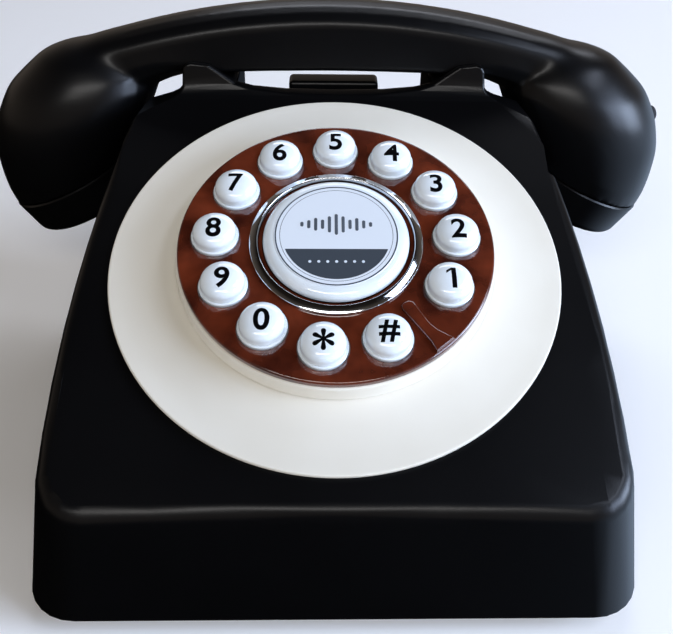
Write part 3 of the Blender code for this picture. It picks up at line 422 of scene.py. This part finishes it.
def turnPiece(rings, sides=96, hollow=False, smoothDegrees=30):
    # a circle that is extruded and resized ring by ring, (radius, height) in mm, then closed
    deselectAll()
    radius, height = rings[0]
    bpy.ops.mesh.primitive_circle_add(vertices=sides, radius=radius * mm, location=(0, 0, height * mm))
    piece = bpy.context.object
    bpy.ops.object.mode_set(mode="EDIT")
    bpy.ops.mesh.select_mode(type="EDGE")
    bpy.ops.mesh.select_all(action="SELECT")
    for i in range(1, len(rings)):
        rise = (rings[i][1] - rings[i - 1][1]) * mm
        share = rings[i][0] / rings[i - 1][0]
        bpy.ops.mesh.extrude_edges_move(TRANSFORM_OT_translate={"value": (0, 0, rise)})
        middle = (0, 0, rings[i][1] * mm)
        bpy.ops.transform.resize(value=(share, share, 1), center_override=middle)
    bpy.ops.mesh.select_all(action="DESELECT")
    bpy.ops.mesh.select_non_manifold()
    if hollow:
        bpy.ops.mesh.bridge_edge_loops()
    else:
        bpy.ops.mesh.edge_face_add()
        bpy.ops.mesh.select_all(action="SELECT")
        bpy.ops.mesh.fill_holes(sides=0)
    bpy.ops.mesh.select_all(action="SELECT")
    bpy.ops.mesh.normals_make_consistent(inside=False)
    bpy.ops.object.mode_set(mode="OBJECT")
    smoothByAngle(piece, smoothDegrees)
    return piece


def putInPlace(piece, place):
    activate(piece)
    piece.matrix_world = place @ piece.matrix_world
    bpy.ops.object.transform_apply(location=True, rotation=True, scale=True)


def finishPiece(piece, name, body, slot, finish, *nodes):
    piece.name = name
    piece.data.name = name
    piece.data.materials.clear()
    piece.data.materials.append(finishes[finish])
    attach(piece, body)
    if nodes:
        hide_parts(*nodes)


def addCylinder(radius, depth, spot, sides):
    deselectAll()
    location = [distance * mm for distance in spot]
    bpy.ops.mesh.primitive_cylinder_add(
        vertices=sides, radius=radius * mm, depth=depth * mm, location=location
    )
    return bpy.context.object


def drillHoles(piece, look, spots):
    for spot in spots:
        drill = addCylinder(look["holeRadius"], look["drillDepth"], spot, look["holeSides"])
        applyModifier(piece, "BOOLEAN", {"operation": "DIFFERENCE", "solver": "EXACT", "object": drill})
        bpy.data.objects.remove(drill, do_unlink=True)


def weldAll(distance):
    bpy.ops.mesh.select_all(action="SELECT")
    bpy.ops.mesh.remove_doubles(threshold=distance * mm)


mergeLook = {"weldMm": 0.01, "flatDegrees": 0.6}


def mergedCopy(nodeName):
    # a CAD node's loose triangles, joined, so that it can be bevelled and shaded smooth
    mesh = frame["nodes"][nodeName].data.copy()
    piece = bpy.data.objects.new(nodeName + "Copy", mesh)
    bpy.context.scene.collection.objects.link(piece)
    activate(piece)
    if mesh.has_custom_normals:
        bpy.ops.mesh.customdata_custom_splitnormals_clear()
    bpy.ops.object.mode_set(mode="EDIT")
    weldAll(mergeLook["weldMm"])
    bpy.ops.mesh.dissolve_limited(angle_limit=math.radians(mergeLook["flatDegrees"]))
    bpy.ops.object.mode_set(mode="OBJECT")
    return piece


def cleanCopy(piece):
    deselectAll()
    twin = piece.copy()
    twin.data = piece.data.copy()
    bpy.context.scene.collection.objects.link(twin)
    return twin


def turnOnDial(rings, hollow=False, smoothDegrees=30):
    piece = turnPiece(rings, dialLook["sides"], hollow, smoothDegrees)
    putInPlace(piece, dialPlace())
    return piece


def arc(centre, radius, start, end, steps):
    # points of a quarter or other arc in a turned outline, angles in degrees from outwards
    points = []
    for i in range(steps + 1):
        turn = math.radians(start + (end - start) * i / steps)
        points.append((centre[0] + radius * math.cos(turn), centre[1] + radius * math.sin(turn)))
    return points


# Dial: cream plate and drum, brown face, chrome ring and the domed centre

# heights of everything on the dial are from the top of the brown face
plateLook = {
    "holeRadius": 12, "stepRadius": 42.3, "shoulderRadius": 45.9, "radius": 64.2,
    "seat": -7.1, "floor": -8.3, "rim": -9.2, "bottom": -10.15,
    "edgeRadius": 0.5, "crownSteps": 8, "crownShare": 0.97,
}
drumLook = {
    "inner": 42.0, "outer": 44.6, "top": -2.1, "bottom": -6.8, "edgeRadius": 0.7,
    "flareRise": 0.5, "flare": 0.25,
}


def makePlateAndDrum(plate, drum):
    span = plate["radius"] - plate["shoulderRadius"]
    fall = plate["seat"] - plate["rim"]
    rings = [(plate["holeRadius"], plate["floor"]), (plate["stepRadius"], plate["floor"])]
    rings += [(plate["stepRadius"], plate["seat"]), (plate["shoulderRadius"], plate["seat"])]
    for i in range(1, plate["crownSteps"] + 1):
        out = plate["crownShare"] * i / plate["crownSteps"]
        height = plate["seat"] - fall * math.sin(out * math.pi / 2)
        rings.append((plate["shoulderRadius"] + span * out, height))
    edge = plate["edgeRadius"]
    rings += arc((plate["radius"] - edge, plate["rim"] - edge), edge, 80, 0, 4)
    rings += [(plate["radius"], plate["bottom"]), (plate["holeRadius"], plate["bottom"])]
    piece = turnOnDial(rings, hollow=True)
    finishPiece(piece, "creamPlate", "base", "cream", "creamAbs", "dial_plate")
    edge = drum["edgeRadius"]
    rings = [(drum["inner"], drum["top"])]
    rings += arc((drum["outer"] - edge, drum["top"] - edge), edge, 90, 0, 5)
    rings.append((drum["outer"], drum["bottom"] + drum["flareRise"]))
    rings.append((drum["outer"] + drum["flare"], drum["bottom"]))
    rings.append((drum["inner"], drum["bottom"]))
    piece = turnOnDial(rings, hollow=True)
    finishPiece(piece, "creamDrum", "base", "cream", "creamAbs", "dial_drum")


faceLook = {
    "radius": 44.0, "thickness": 1.8, "edgeRadius": 0.7, "innerRings": (poleRadius, 12, 24, 36),
    "holeRadius": 6.9, "holeSides": 48, "drillDepth": 8, "lipRadius": 0.25, "lipDegrees": 60,
    "circleRadius": 33.7, "stepDegrees": 29, "smoothDegrees": 35,
    "stopHeight": 1.3, "stopInner": 27.2, "stopReach": 16.2, "stopBevel": 0.42, "stopLift": 0.15,
    "stopSmoothDegrees": 45,
}
buttonNames = ("1", "2", "3", "4", "5", "6", "7", "8", "9", "0", "star", "hash")
# the stop's outline: share of its reach outwards, and its place in button steps from the top
stopOutline = (
    (0.0, 4.88), (0.0, 4.76), (0.02, 4.70), (0.09, 4.66), (0.18, 4.68), (0.37, 4.73), (0.56, 4.76),
    (0.72, 4.75), (0.85, 4.72), (1.0, 4.69), (1.0, 4.97), (0.8, 4.94), (0.4, 4.93), (0.06, 4.92),
)


def buttonSpot(index):
    # the five stands at the top, and the numbers run anticlockwise
    turn = math.radians((4 - index) * faceLook["stepDegrees"])
    return faceLook["circleRadius"] * math.sin(turn), faceLook["circleRadius"] * math.cos(turn)


def makeFace(look):
    edge = look["edgeRadius"]
    rings = [(radius, 0) for radius in look["innerRings"]]
    rings += arc((look["radius"] - edge, -edge), edge, 90, 0, 5)
    rings += [(look["radius"], -look["thickness"]), (poleRadius, -look["thickness"])]
    face = turnPiece(rings, dialLook["sides"])
    drillHoles(face, look, [(*buttonSpot(i), 0) for i in range(len(buttonNames))])
    bevelByAngle(face, look["lipRadius"], look["lipDegrees"])
    smoothByAngle(face, look["smoothDegrees"])
    putInPlace(face, dialPlace())
    finishPiece(face, "brownFace", "base", "glossy_brown", "glossyBrownStyrene", "dial_face")

    outline = bpy.data.curves.new("stopOutline", "CURVE")
    outline.dimensions = "2D"
    outline.fill_mode = "BOTH"
    line = outline.splines.new("POLY")
    line.points.add(len(stopOutline) - 1)
    for point, (out, steps) in zip(line.points, stopOutline):
        radius = (look["stopInner"] + look["stopReach"] * out) * mm
        turn = math.radians(steps * look["stepDegrees"])
        point.co = (radius * math.sin(turn), radius * math.cos(turn), 0, 1)
    line.use_cyclic_u = True
    outline.extrude = look["stopHeight"] / 2 * mm
    outline.bevel_depth = look["stopBevel"] * mm
    outline.bevel_resolution = 3
    outline.offset = -look["stopBevel"] * mm
    stop = bpy.data.objects.new("fingerStop", outline)
    bpy.context.scene.collection.objects.link(stop)
    activate(stop)
    bpy.ops.object.convert(target="MESH")
    stop = bpy.context.object
    putInPlace(stop, dialPlace(height=look["stopLift"]))
    smoothByAngle(stop, look["stopSmoothDegrees"])
    finishPiece(stop, "fingerStop", "base", "glossy_brown", "glossyBrownStyrene")


ringLook = {
    "inner": 21.5, "crest": 22.1, "outer": 24.1, "foot": 0.3, "top": 1.75, "innerDrop": 0.6,
    "shoulder": 0.95, "edgeRadius": 0.3, "smoothDegrees": 40,
}
centreLook = {
    "radius": 20.3, "foot": 0.3, "height": 3.2, "flat": 16.9, "flatRing": 8, "skirt": 0.9, "domeSteps": 12,
    "shadeInner": 0.02, "shadeOuter": 0.22, "shadeHeight": 0.35,
    "labelRadius": 17.2, "labelRing": 9, "labelThickness": 0.12, "labelEdge": 0.1, "labelEdgeHeight": 0.03,
    "labelDepth": 0.3,
}


def makeRingAndCentre(ring, centre):
    edge = ring["edgeRadius"]
    rings = [(ring["inner"], ring["foot"]), (ring["inner"], ring["top"] - ring["innerDrop"])]
    rings += arc((ring["crest"], ring["top"] - edge), edge, 150, 70, 5)
    rings += arc((ring["outer"] - edge, ring["shoulder"] - edge), edge, 65, 0, 5)
    rings.append((ring["outer"], ring["foot"]))
    piece = turnOnDial(rings, hollow=True, smoothDegrees=ring["smoothDegrees"])
    finishPiece(piece, "chromeRing", "base", "chrome", "chromePlate", "chrome_ring")

    # the dome's flat top carries the label
    low = centre["foot"] + centre["height"] - centre["labelThickness"]
    span = centre["radius"] - centre["flat"]
    fall = centre["height"] - centre["skirt"]
    rings = [(radius, low) for radius in (poleRadius, centre["flatRing"], centre["flat"])]
    for i in range(1, centre["domeSteps"] + 1):
        turn = math.pi / 2 * i / centre["domeSteps"]
        rings.append((centre["flat"] + span * math.sin(turn), low - fall * (1 - math.cos(turn))))
    rings += [(centre["radius"], centre["foot"]), (poleRadius, centre["foot"])]
    piece = turnOnDial(rings)
    finishPiece(piece, "whiteCentre", "base", "glossy_white", "glossyWhiteAbs", "centre_cap")
    # painted shade: a thin black ring round the foot of the dome
    inner, outer = centre["radius"] + centre["shadeInner"], centre["radius"] + centre["shadeOuter"]
    foot, top = centre["foot"], centre["foot"] + centre["shadeHeight"]
    piece = turnOnDial([(inner, foot), (outer, foot), (outer, top), (inner, top)], hollow=True)
    finishPiece(piece, "centreShadeRing", "base", "satin_black", "blackInkAndShade")

    radius = centre["labelRadius"]
    surface, under = low + centre["labelThickness"], low - centre["labelDepth"]
    rings = [(poleRadius, surface), (centre["labelRing"], surface), (radius - centre["labelEdge"], surface)]
    rings += [(radius, low + centre["labelEdgeHeight"]), (radius, under), (poleRadius, under)]
    piece = turnOnDial(rings)
    finishPiece(piece, "printedLabel", "base", "label_grey", "labelFilm", "centre_label")
    return surface


motifLook = {
    "bars": (1.6, 2.8, 4.4, 3.2, 5.6, 7.2, 5.6, 3.2, 4.4, 2.8, 1.6),
    "barPitch": 1.9, "barRadius": 0.45, "barsAlong": 3.4,
    "dots": (0,) * 7, "dotPitch": 2.4, "dotRadius": 0.42, "dotsAlong": -9.2,
    "sides": 20, "thickness": 0.05,
}


def makeMotif(look, surface):
    # a row of rounded bars and one of dots, which are bars without height
    for name, finish, heights, pitch, radius, along in (
        ("labelBars", "slateInk", look["bars"], look["barPitch"], look["barRadius"], look["barsAlong"]),
        ("labelDots", "paleInk", look["dots"], look["dotPitch"], look["dotRadius"], look["dotsAlong"]),
    ):
        marks = []
        for i, height in enumerate(heights):
            deselectAll()
            across = (i - (len(heights) - 1) / 2) * pitch
            spot = (across * mm, along * mm, surface * mm)
            bpy.ops.mesh.primitive_circle_add(
                vertices=look["sides"], radius=radius * mm, fill_type="NGON", location=spot
            )
            mark = bpy.context.object
            stretch = max(height / 2 - radius, 0)
            for vertex in mark.data.vertices:
                vertex.co.y += math.copysign(stretch, vertex.co.y) * mm
            bpy.ops.object.mode_set(mode="EDIT")
            bpy.ops.mesh.select_all(action="SELECT")
            upwards = {"value": (0, 0, look["thickness"] * mm)}
            bpy.ops.mesh.extrude_region_move(TRANSFORM_OT_translate=upwards)
            bpy.ops.mesh.select_all(action="SELECT")
            bpy.ops.mesh.normals_make_consistent(inside=False)
            bpy.ops.object.mode_set(mode="OBJECT")
            marks.append(mark)
        deselectAll()
        for mark in marks:
            mark.select_set(True)
        bpy.context.view_layer.objects.active = marks[0]
        bpy.ops.object.join()
        piece = bpy.context.object
        putInPlace(piece, dialPlace())
        finishPiece(piece, name, "base", "label_grey", finish)


makePlateAndDrum(plateLook, drumLook)
makeFace(faceLook)
labelSurface = makeRingAndCentre(ringLook, centreLook)
makeMotif(motifLook, labelSurface)
print("stage: dial")


# Buttons: one dome, copied to twelve places, each with its own numeral

# heights are from the top of the brown face, in mm
buttonLook = {
    "pole": 0.3, "radius": 6.0, "height": 5.1, "shoulder": 2.1, "roundness": 2.3, "domeSteps": 14,
    "flange": 6.6, "flangeHeight": 0.6, "flangeEdge": 0.15, "fillet": (0.12, 0.25, 0.03),
    "collar": 7.3, "under": -2.1, "foot": -2.9, "sides": 56, "smoothDegrees": 32,
    "numeralSize": 8.6, "starGrowth": 1.5, "numeralFront": 0.4, "numeralLift": 8, "weight": 0.21,
    "inkLift": 0.03, "flag": (1.4, 0.85, 35, 0.05), "gridMm": 0.55, "gridLines": 8,
}
numerals = {"star": "*", "hash": "#"}


def makeDome(look):
    rings = [(look["pole"], look["height"])]
    rise = look["height"] - look["shoulder"]
    for i in range(1, look["domeSteps"] + 1):
        share = math.sin(math.pi / 2 * i / look["domeSteps"])
        height = look["shoulder"] + rise * (1 - share ** look["roundness"]) ** (1 / look["roundness"])
        rings.append((look["radius"] * share, height))
    across, upper, lower = look["fillet"]
    flange, step, edge = look["flange"], look["flangeHeight"], look["flangeEdge"]
    rings += [(look["radius"], step + upper), (look["radius"] + across, step + lower)]
    rings += [(flange - edge, step), (flange, step - edge), (flange, look["under"])]
    rings += [(look["collar"], look["under"]), (look["collar"], look["foot"]), (look["pole"], look["foot"])]
    return turnPiece(rings, look["sides"], smoothDegrees=look["smoothDegrees"])


def addFlag(piece, flag):
    # the short slanting stroke at the top of the one, which overlaps its stem a little
    length, width, degrees, overlap = flag
    left = min(v.co.x for v in piece.data.vertices)
    top = max(v.co.y for v in piece.data.vertices)
    slope = math.tan(math.radians(degrees))
    deselectAll()
    bpy.ops.mesh.primitive_plane_add(size=1 * mm)
    stroke = bpy.context.object
    for vertex in stroke.data.vertices:
        across = (0.5 - vertex.co.x / mm) * length * mm
        drop = (0.5 - vertex.co.y / mm) * width * mm
        vertex.co = Vector((left - across + overlap * mm, top - drop - across * slope, 0))
    activate(piece)
    stroke.select_set(True)
    bpy.ops.object.join()


def makeNumeral(label, dome, look):
    # flat type above the dome, cut into small cells and laid down on it
    deselectAll()
    bpy.ops.object.text_add()
    piece = bpy.context.object
    piece.data.body = numerals.get(label, label)
    piece.data.size = look["numeralSize"] * mm * (look["starGrowth"] if label == "star" else 1)
    piece.data.offset = look["weight"] * mm
    piece.data.align_x = "CENTER"
    bpy.ops.object.convert(target="MESH")
    piece = bpy.context.object
    if label == "1":
        addFlag(piece, look["flag"])
    xs = [v.co.x for v in piece.data.vertices]
    ys = [v.co.y for v in piece.data.vertices]
    middle = Vector(((min(xs) + max(xs)) / 2, (min(ys) + max(ys)) / 2 + look["numeralFront"] * mm, 0))
    for vertex in piece.data.vertices:
        vertex.co = vertex.co - middle + Vector((0, 0, look["numeralLift"] * mm))
    bpy.ops.object.mode_set(mode="EDIT")
    for axis in (0, 1):
        for i in range(-look["gridLines"], look["gridLines"] + 1):
            spot, way = [0, 0, 0], [0, 0, 0]
            spot[axis], way[axis] = i * look["gridMm"] * mm, 1
            bpy.ops.mesh.select_all(action="SELECT")
            bpy.ops.mesh.bisect(plane_co=spot, plane_no=way)
    bpy.ops.object.mode_set(mode="OBJECT")
    applyModifier(piece, "SHRINKWRAP", {
        "target": dome, "wrap_method": "PROJECT", "use_project_z": True, "use_negative_direction": True,
        "use_positive_direction": False, "offset": look["inkLift"] * mm,
    })
    return piece


def makeButtons(look):
    dome = makeDome(look)
    for i, label in enumerate(buttonNames):
        across, along = buttonSpot(i)
        numeral = makeNumeral(label, dome, look)
        putInPlace(numeral, dialPlace(0, across, along))
        finishPiece(numeral, "numeral_" + label, "key_" + label, "satin_black", "blackInkAndShade")
        button = cleanCopy(dome)
        putInPlace(button, dialPlace(0, across, along))
        smoothByAngle(button, look["smoothDegrees"])
        body, node = "key_" + label, "button_" + label
        finishPiece(button, "buttonDome_" + label, body, "glossy_white", "glossyWhiteAbs", node)
    bpy.data.objects.remove(dome, do_unlink=True)


makeButtons(buttonLook)
print("stage: buttons")


# Case: the CAD form with rounded rims, smooth walls

caseLook = {
    "rimRadius": 1.2, "rimOutside": 60, "rimFrom": 26, "rimTo": 41, "rimAbove": 30,
    "hornRadius": 0.9, "hornInside": 66, "hornFrom": 41, "hornAbove": 70,
    "rimEnd": (67.1, 13.2, 77.3), "rimMeets": (69.6, 13.4, 77.0),
    "weldMm": 0.02, "sharpDegrees": 30, "smoothDegrees": 34,
}


def selectSharpEdges(piece, wanted, degrees):
    # sharp outward edges whose middle, in mm, is wanted
    activate(piece)
    bpy.ops.object.mode_set(mode="EDIT")
    bpy.ops.mesh.select_mode(type="EDGE")
    bpy.ops.mesh.select_all(action="DESELECT")
    bpy.ops.mesh.edges_select_sharp(sharpness=math.radians(degrees))
    bpy.ops.object.mode_set(mode="OBJECT")
    mesh = piece.data
    faces = {}
    for polygon in mesh.polygons:
        for key in polygon.edge_keys:
            faces.setdefault(key, []).append(polygon)
    chosen = []
    for edge in mesh.edges:
        if edge.select:
            ends = [mesh.vertices[i].co for i in edge.vertices]
            middle = (ends[0] + ends[1]) / 2
            pair = faces[edge.key]
            outward = len(pair) == 2 and (pair[1].center - pair[0].center).dot(pair[0].normal) < 0
            if outward and wanted(middle / mm):
                chosen.append(edge)
    for group in (mesh.vertices, mesh.edges, mesh.polygons):
        group.foreach_set("select", [False] * len(group))
    for edge in chosen:
        edge.select = True
        for i in edge.vertices:
            mesh.vertices[i].select = True


def nearestVertex(piece, spot, side):
    aim = Vector((side * spot[0], spot[1], spot[2])) * mm
    return min(piece.data.vertices, key=lambda vertex: (vertex.co - aim).length)


def makeCase(look):
    piece = mergedCopy("case_shell")

    def onRim(place):
        within = look["rimFrom"] < place.y < look["rimTo"]
        return within and abs(place.x) > look["rimOutside"] and place.z > look["rimAbove"]

    def onHorns(place):
        within = abs(place.x) < look["hornInside"] and place.y > look["hornFrom"]
        return within and place.z > look["hornAbove"]

    # the rim's rounding ends in a small step: its lower corner goes out to meet the rounding
    for side in (-1, 1):
        corner = nearestVertex(piece, look["rimEnd"], side)
        corner.co = nearestVertex(piece, look["rimMeets"], side).co
    bpy.ops.object.mode_set(mode="EDIT")
    weldAll(look["weldMm"])
    bpy.ops.mesh.quads_convert_to_tris()
    bpy.ops.object.mode_set(mode="OBJECT")
    for wanted, radius in ((onRim, look["rimRadius"]), (onHorns, look["hornRadius"])):
        selectSharpEdges(piece, wanted, look["sharpDegrees"])
        bpy.ops.object.mode_set(mode="EDIT")
        bpy.ops.mesh.bevel(offset=radius * mm, segments=3, affect="EDGES", clamp_overlap=False)
        weldAll(look["weldMm"])
        bpy.ops.object.mode_set(mode="OBJECT")
    smoothByAngle(piece, look["smoothDegrees"])
    weighNormals(piece)
    finishPiece(piece, "caseBody", "base", "satin_black", "satinBlackAbs", "case_shell")


makeCase(caseLook)
print("stage: case")


# Handset: the grip remeshed to soft moulded transitions, turned caps with sound holes, ribbed inlet

gripLook = {
    "voxelMm": 0.7, "smoothSteps": 5, "smoothFactor": 0.5,
    "cupSteps": 150, "cupFrom": 66, "cupFull": 80, "seamKeep": 0.8, "seamFade": 4.5, "cupSwell": 0.5,
    # a plug is its radius, and where it begins and ends on its axis
    "lid": (22.8, 0.2, 2.2), "seat": (4.7, -1, 8), "seatPlace": (106.93, 69.2, 74.0), "seatTurnDegrees": 24,
    "plugSides": 64,
}
capLook = {
    "cupX": 93.6, "cupY": 62.7, "seamZ": 56.2, "shiftX": -1.3, "tiltDegrees": 24,
    "cupRadius": 23.6, "faceRadius": 21.7, "depth": 14, "wall": 2.4, "dish": 1.6, "dishSlope": 0.7,
    "edgeRadius": 3.4, "innerEdge": 1.2, "rimEdge": 0.5, "seamGap": 0.3, "sides": 96, "smoothDegrees": 35,
    "holes": 6, "holeRadius": 1.5, "holeCircle": 8, "holeSides": 24, "drillDepth": 12,
}


def cupPlace(side, look):
    # a cup's own frame: z along its axis, zero at the seam
    spot = Vector((side * look["cupX"] + look["shiftX"], look["cupY"], look["seamZ"])) * mm
    return Matrix.Translation(spot) @ Matrix.Rotation(side * math.radians(look["tiltDegrees"]), 4, "Y")


def cordPlace(start, degrees):
    # the cord's own frame: z outwards along it
    turn = Matrix.Rotation(math.radians(degrees), 4, "Z") @ Matrix.Rotation(math.pi / 2, 4, "Y")
    return Matrix.Translation(Vector(start) * mm) @ turn


def rampShare(value, start, span):
    return min(max((value - start) / span, 0), 1)


def makePlug(place, plug, sides):
    radius, low, high = plug
    piece = addCylinder(radius, high - low, (0, 0, (low + high) / 2), sides)
    putInPlace(piece, place)
    return piece


def makeGrip(look):
    # lids close the hollow cups and a plug the inlet's seat, so that only the outer skin is remeshed
    plugs = [makePlug(cupPlace(side, capLook), look["lid"], look["plugSides"]) for side in (-1, 1)]
    seat = cordPlace(look["seatPlace"], look["seatTurnDegrees"])
    plugs.append(makePlug(seat, look["seat"], look["plugSides"]))
    piece = mergedCopy("handset_grip")
    for plug in plugs:
        plug.select_set(True)
    bpy.ops.object.join()
    cells = {"mode": "VOXEL", "voxel_size": look["voxelMm"] * mm, "use_smooth_shade": True}
    applyModifier(piece, "REMESH", cells)
    applyModifier(piece, "SMOOTH", {"factor": look["smoothFactor"], "iterations": look["smoothSteps"]})
    # the cups are smoothed more than the handle, and not at the seams of their caps
    cups = piece.vertex_groups.new(name="cups")
    for vertex in piece.data.vertices:
        across = vertex.co.x / mm - capLook["shiftX"]
        high = (cupPlace(math.copysign(1, across), capLook).inverted() @ vertex.co).z / mm
        out = rampShare(abs(across), look["cupFrom"], look["cupFull"] - look["cupFrom"])
        share = out * out * (3 - 2 * out) * rampShare(high, look["seamKeep"], look["seamFade"])
        if share > 0:
            cups.add([vertex.index], share, "REPLACE")
    softer = {"factor": look["smoothFactor"], "iterations": look["cupSteps"], "vertex_group": "cups"}
    applyModifier(piece, "SMOOTH", softer)
    fuller = {"strength": look["cupSwell"] * mm, "mid_level": 0, "vertex_group": "cups"}
    applyModifier(piece, "DISPLACE", fuller)
    finishPiece(piece, "handsetBody", "handset", "satin_black", "satinBlackAbs", "handset_grip")


def makeCaps(look):
    # from the middle of the inside over the seam to the middle of the dished front, then drilled
    inner = look["depth"] - look["wall"]
    edge, rimEdge, gap = look["edgeRadius"], look["rimEdge"], look["seamGap"]
    face, rim = look["faceRadius"], look["cupRadius"]
    rings = [(poleRadius, -inner + look["dish"]), (face - edge - look["innerEdge"], -inner)]
    rings += [(face - look["wall"], -inner + edge), (rim - look["wall"], -gap)]
    rings += [(rim - rimEdge, -gap), (rim, -gap - rimEdge)]
    rings += arc((face - edge, -look["depth"] + edge), edge, -8, -90, 8)
    rings.append((face * 0.5, -look["depth"] + look["dish"] * look["dishSlope"]))
    rings.append((poleRadius, -look["depth"] + look["dish"]))
    cap = turnPiece(rings, look["sides"])
    spots = [(0, 0, -look["depth"])]
    for i in range(look["holes"]):
        turn = 2 * math.pi / look["holes"] * i
        out = look["holeCircle"]
        spots.append((out * math.cos(turn), out * math.sin(turn), -look["depth"]))
    drillHoles(cap, look, spots)
    for side, name, node in ((-1, "earCap", "ear_cap"), (1, "mouthCap", "mouth_cap")):
        piece = cleanCopy(cap)
        putInPlace(piece, cupPlace(side, look))
        smoothByAngle(piece, look["smoothDegrees"])
        finishPiece(piece, name, "handset", "satin_black", "satinBlackAbs", node)
    bpy.data.objects.remove(cap, do_unlink=True)


inletLook = {
    "start": (106.2, 68.0, 75.2), "turnDegrees": 20, "length": 13.9,
    "rootRadius": 9.2, "tipRadius": 2.4, "tipEdge": 0.3, "boreRadius": 1.7,
    "ribs": 5, "ribDepth": 0.35, "ribFoot": 0.5, "ribTop": 0.3, "sides": 64, "smoothDegrees": 40,
}


def makeInlet(look):
    # a tapered rubber relief with ribs, pointing outwards and to the rear
    rings = [(look["boreRadius"], 0), (look["rootRadius"], 0)]
    fall = look["rootRadius"] - look["tipRadius"]
    for i in range(1, look["ribs"] + 1):
        along = look["length"] * i / look["ribs"]
        radius = look["rootRadius"] - fall * i / look["ribs"]
        rings.append((radius + fall / look["ribs"] * look["ribDepth"], along - look["ribFoot"]))
        rings.append((radius, along - look["ribTop"]))
    rings += [(look["tipRadius"] - look["tipEdge"], look["length"]), (look["boreRadius"], look["length"])]
    piece = turnPiece(rings, look["sides"], hollow=True, smoothDegrees=look["smoothDegrees"])
    putInPlace(piece, cordPlace(look["start"], look["turnDegrees"]))
    finishPiece(piece, "cordRelief", "handset", "dark_rubber", "darkRubber", "cord_inlet")


makeGrip(gripLook)
makeCaps(capLook)
makeInlet(inletLook)
print("stage: handset")


# Cradle bar and feet

hookBarLook = {"edgeRadius": 0.35, "sharpDegrees": 40, "smoothDegrees": 35}
footLook = {
    # how far inside its flange each ring lies, and how far under the case or over the table
    "upper": ((0, 0), (0, 1.2), (0.35, 1.5)),
    "lower": ((0.6, 0.8), (1.4, 0), (3.4, 0), (3.8, 0.5)),
    "dish": 0.5,
    "sides": 64,
}


def makeHookBar(look):
    piece = mergedCopy("hook_bar")
    bevelByAngle(piece, look["edgeRadius"], look["sharpDegrees"])
    smoothByAngle(piece, look["smoothDegrees"])
    weighNormals(piece)
    finishPiece(piece, "cradleBar", "hook", "satin_black", "satinBlackAbs", "hook_bar")


def makeFeet(look):
    for node in ("foot_front_left", "foot_front_right", "foot_rear_left", "foot_rear_right"):
        low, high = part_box(node)
        height = (high[2] - low[2]) / mm
        radius = (high[0] - low[0]) / 2 / mm
        rings = [(poleRadius, height)]
        rings += [(radius - inside, height - under) for inside, under in look["upper"]]
        rings += [(radius - inside, over) for inside, over in look["lower"]]
        rings.append((poleRadius, look["dish"]))
        piece = turnPiece(rings, look["sides"])
        spot = Vector(((low[0] + high[0]) / 2, (low[1] + high[1]) / 2, low[2]))
        putInPlace(piece, Matrix.Translation(spot))
        word, depth, side = node.split("_")
        name = word + depth.title() + side.title()
        finishPiece(piece, name, "base", "dark_rubber", "darkRubber", node)


makeHookBar(hookBarLook)
makeFeet(footLook)
print("stage: cradle bar and feet")


# CAD nodes that stay

def dressNodes():
    for part in frame["record"]["subparts"]:
        node = frame["nodes"][part["node"]]
        node.data.materials.clear()
        node.data.materials.append(finishes[slotFinishes[part["material_slot"]]])


dressNodes()
print("stage: CAD nodes dressed")
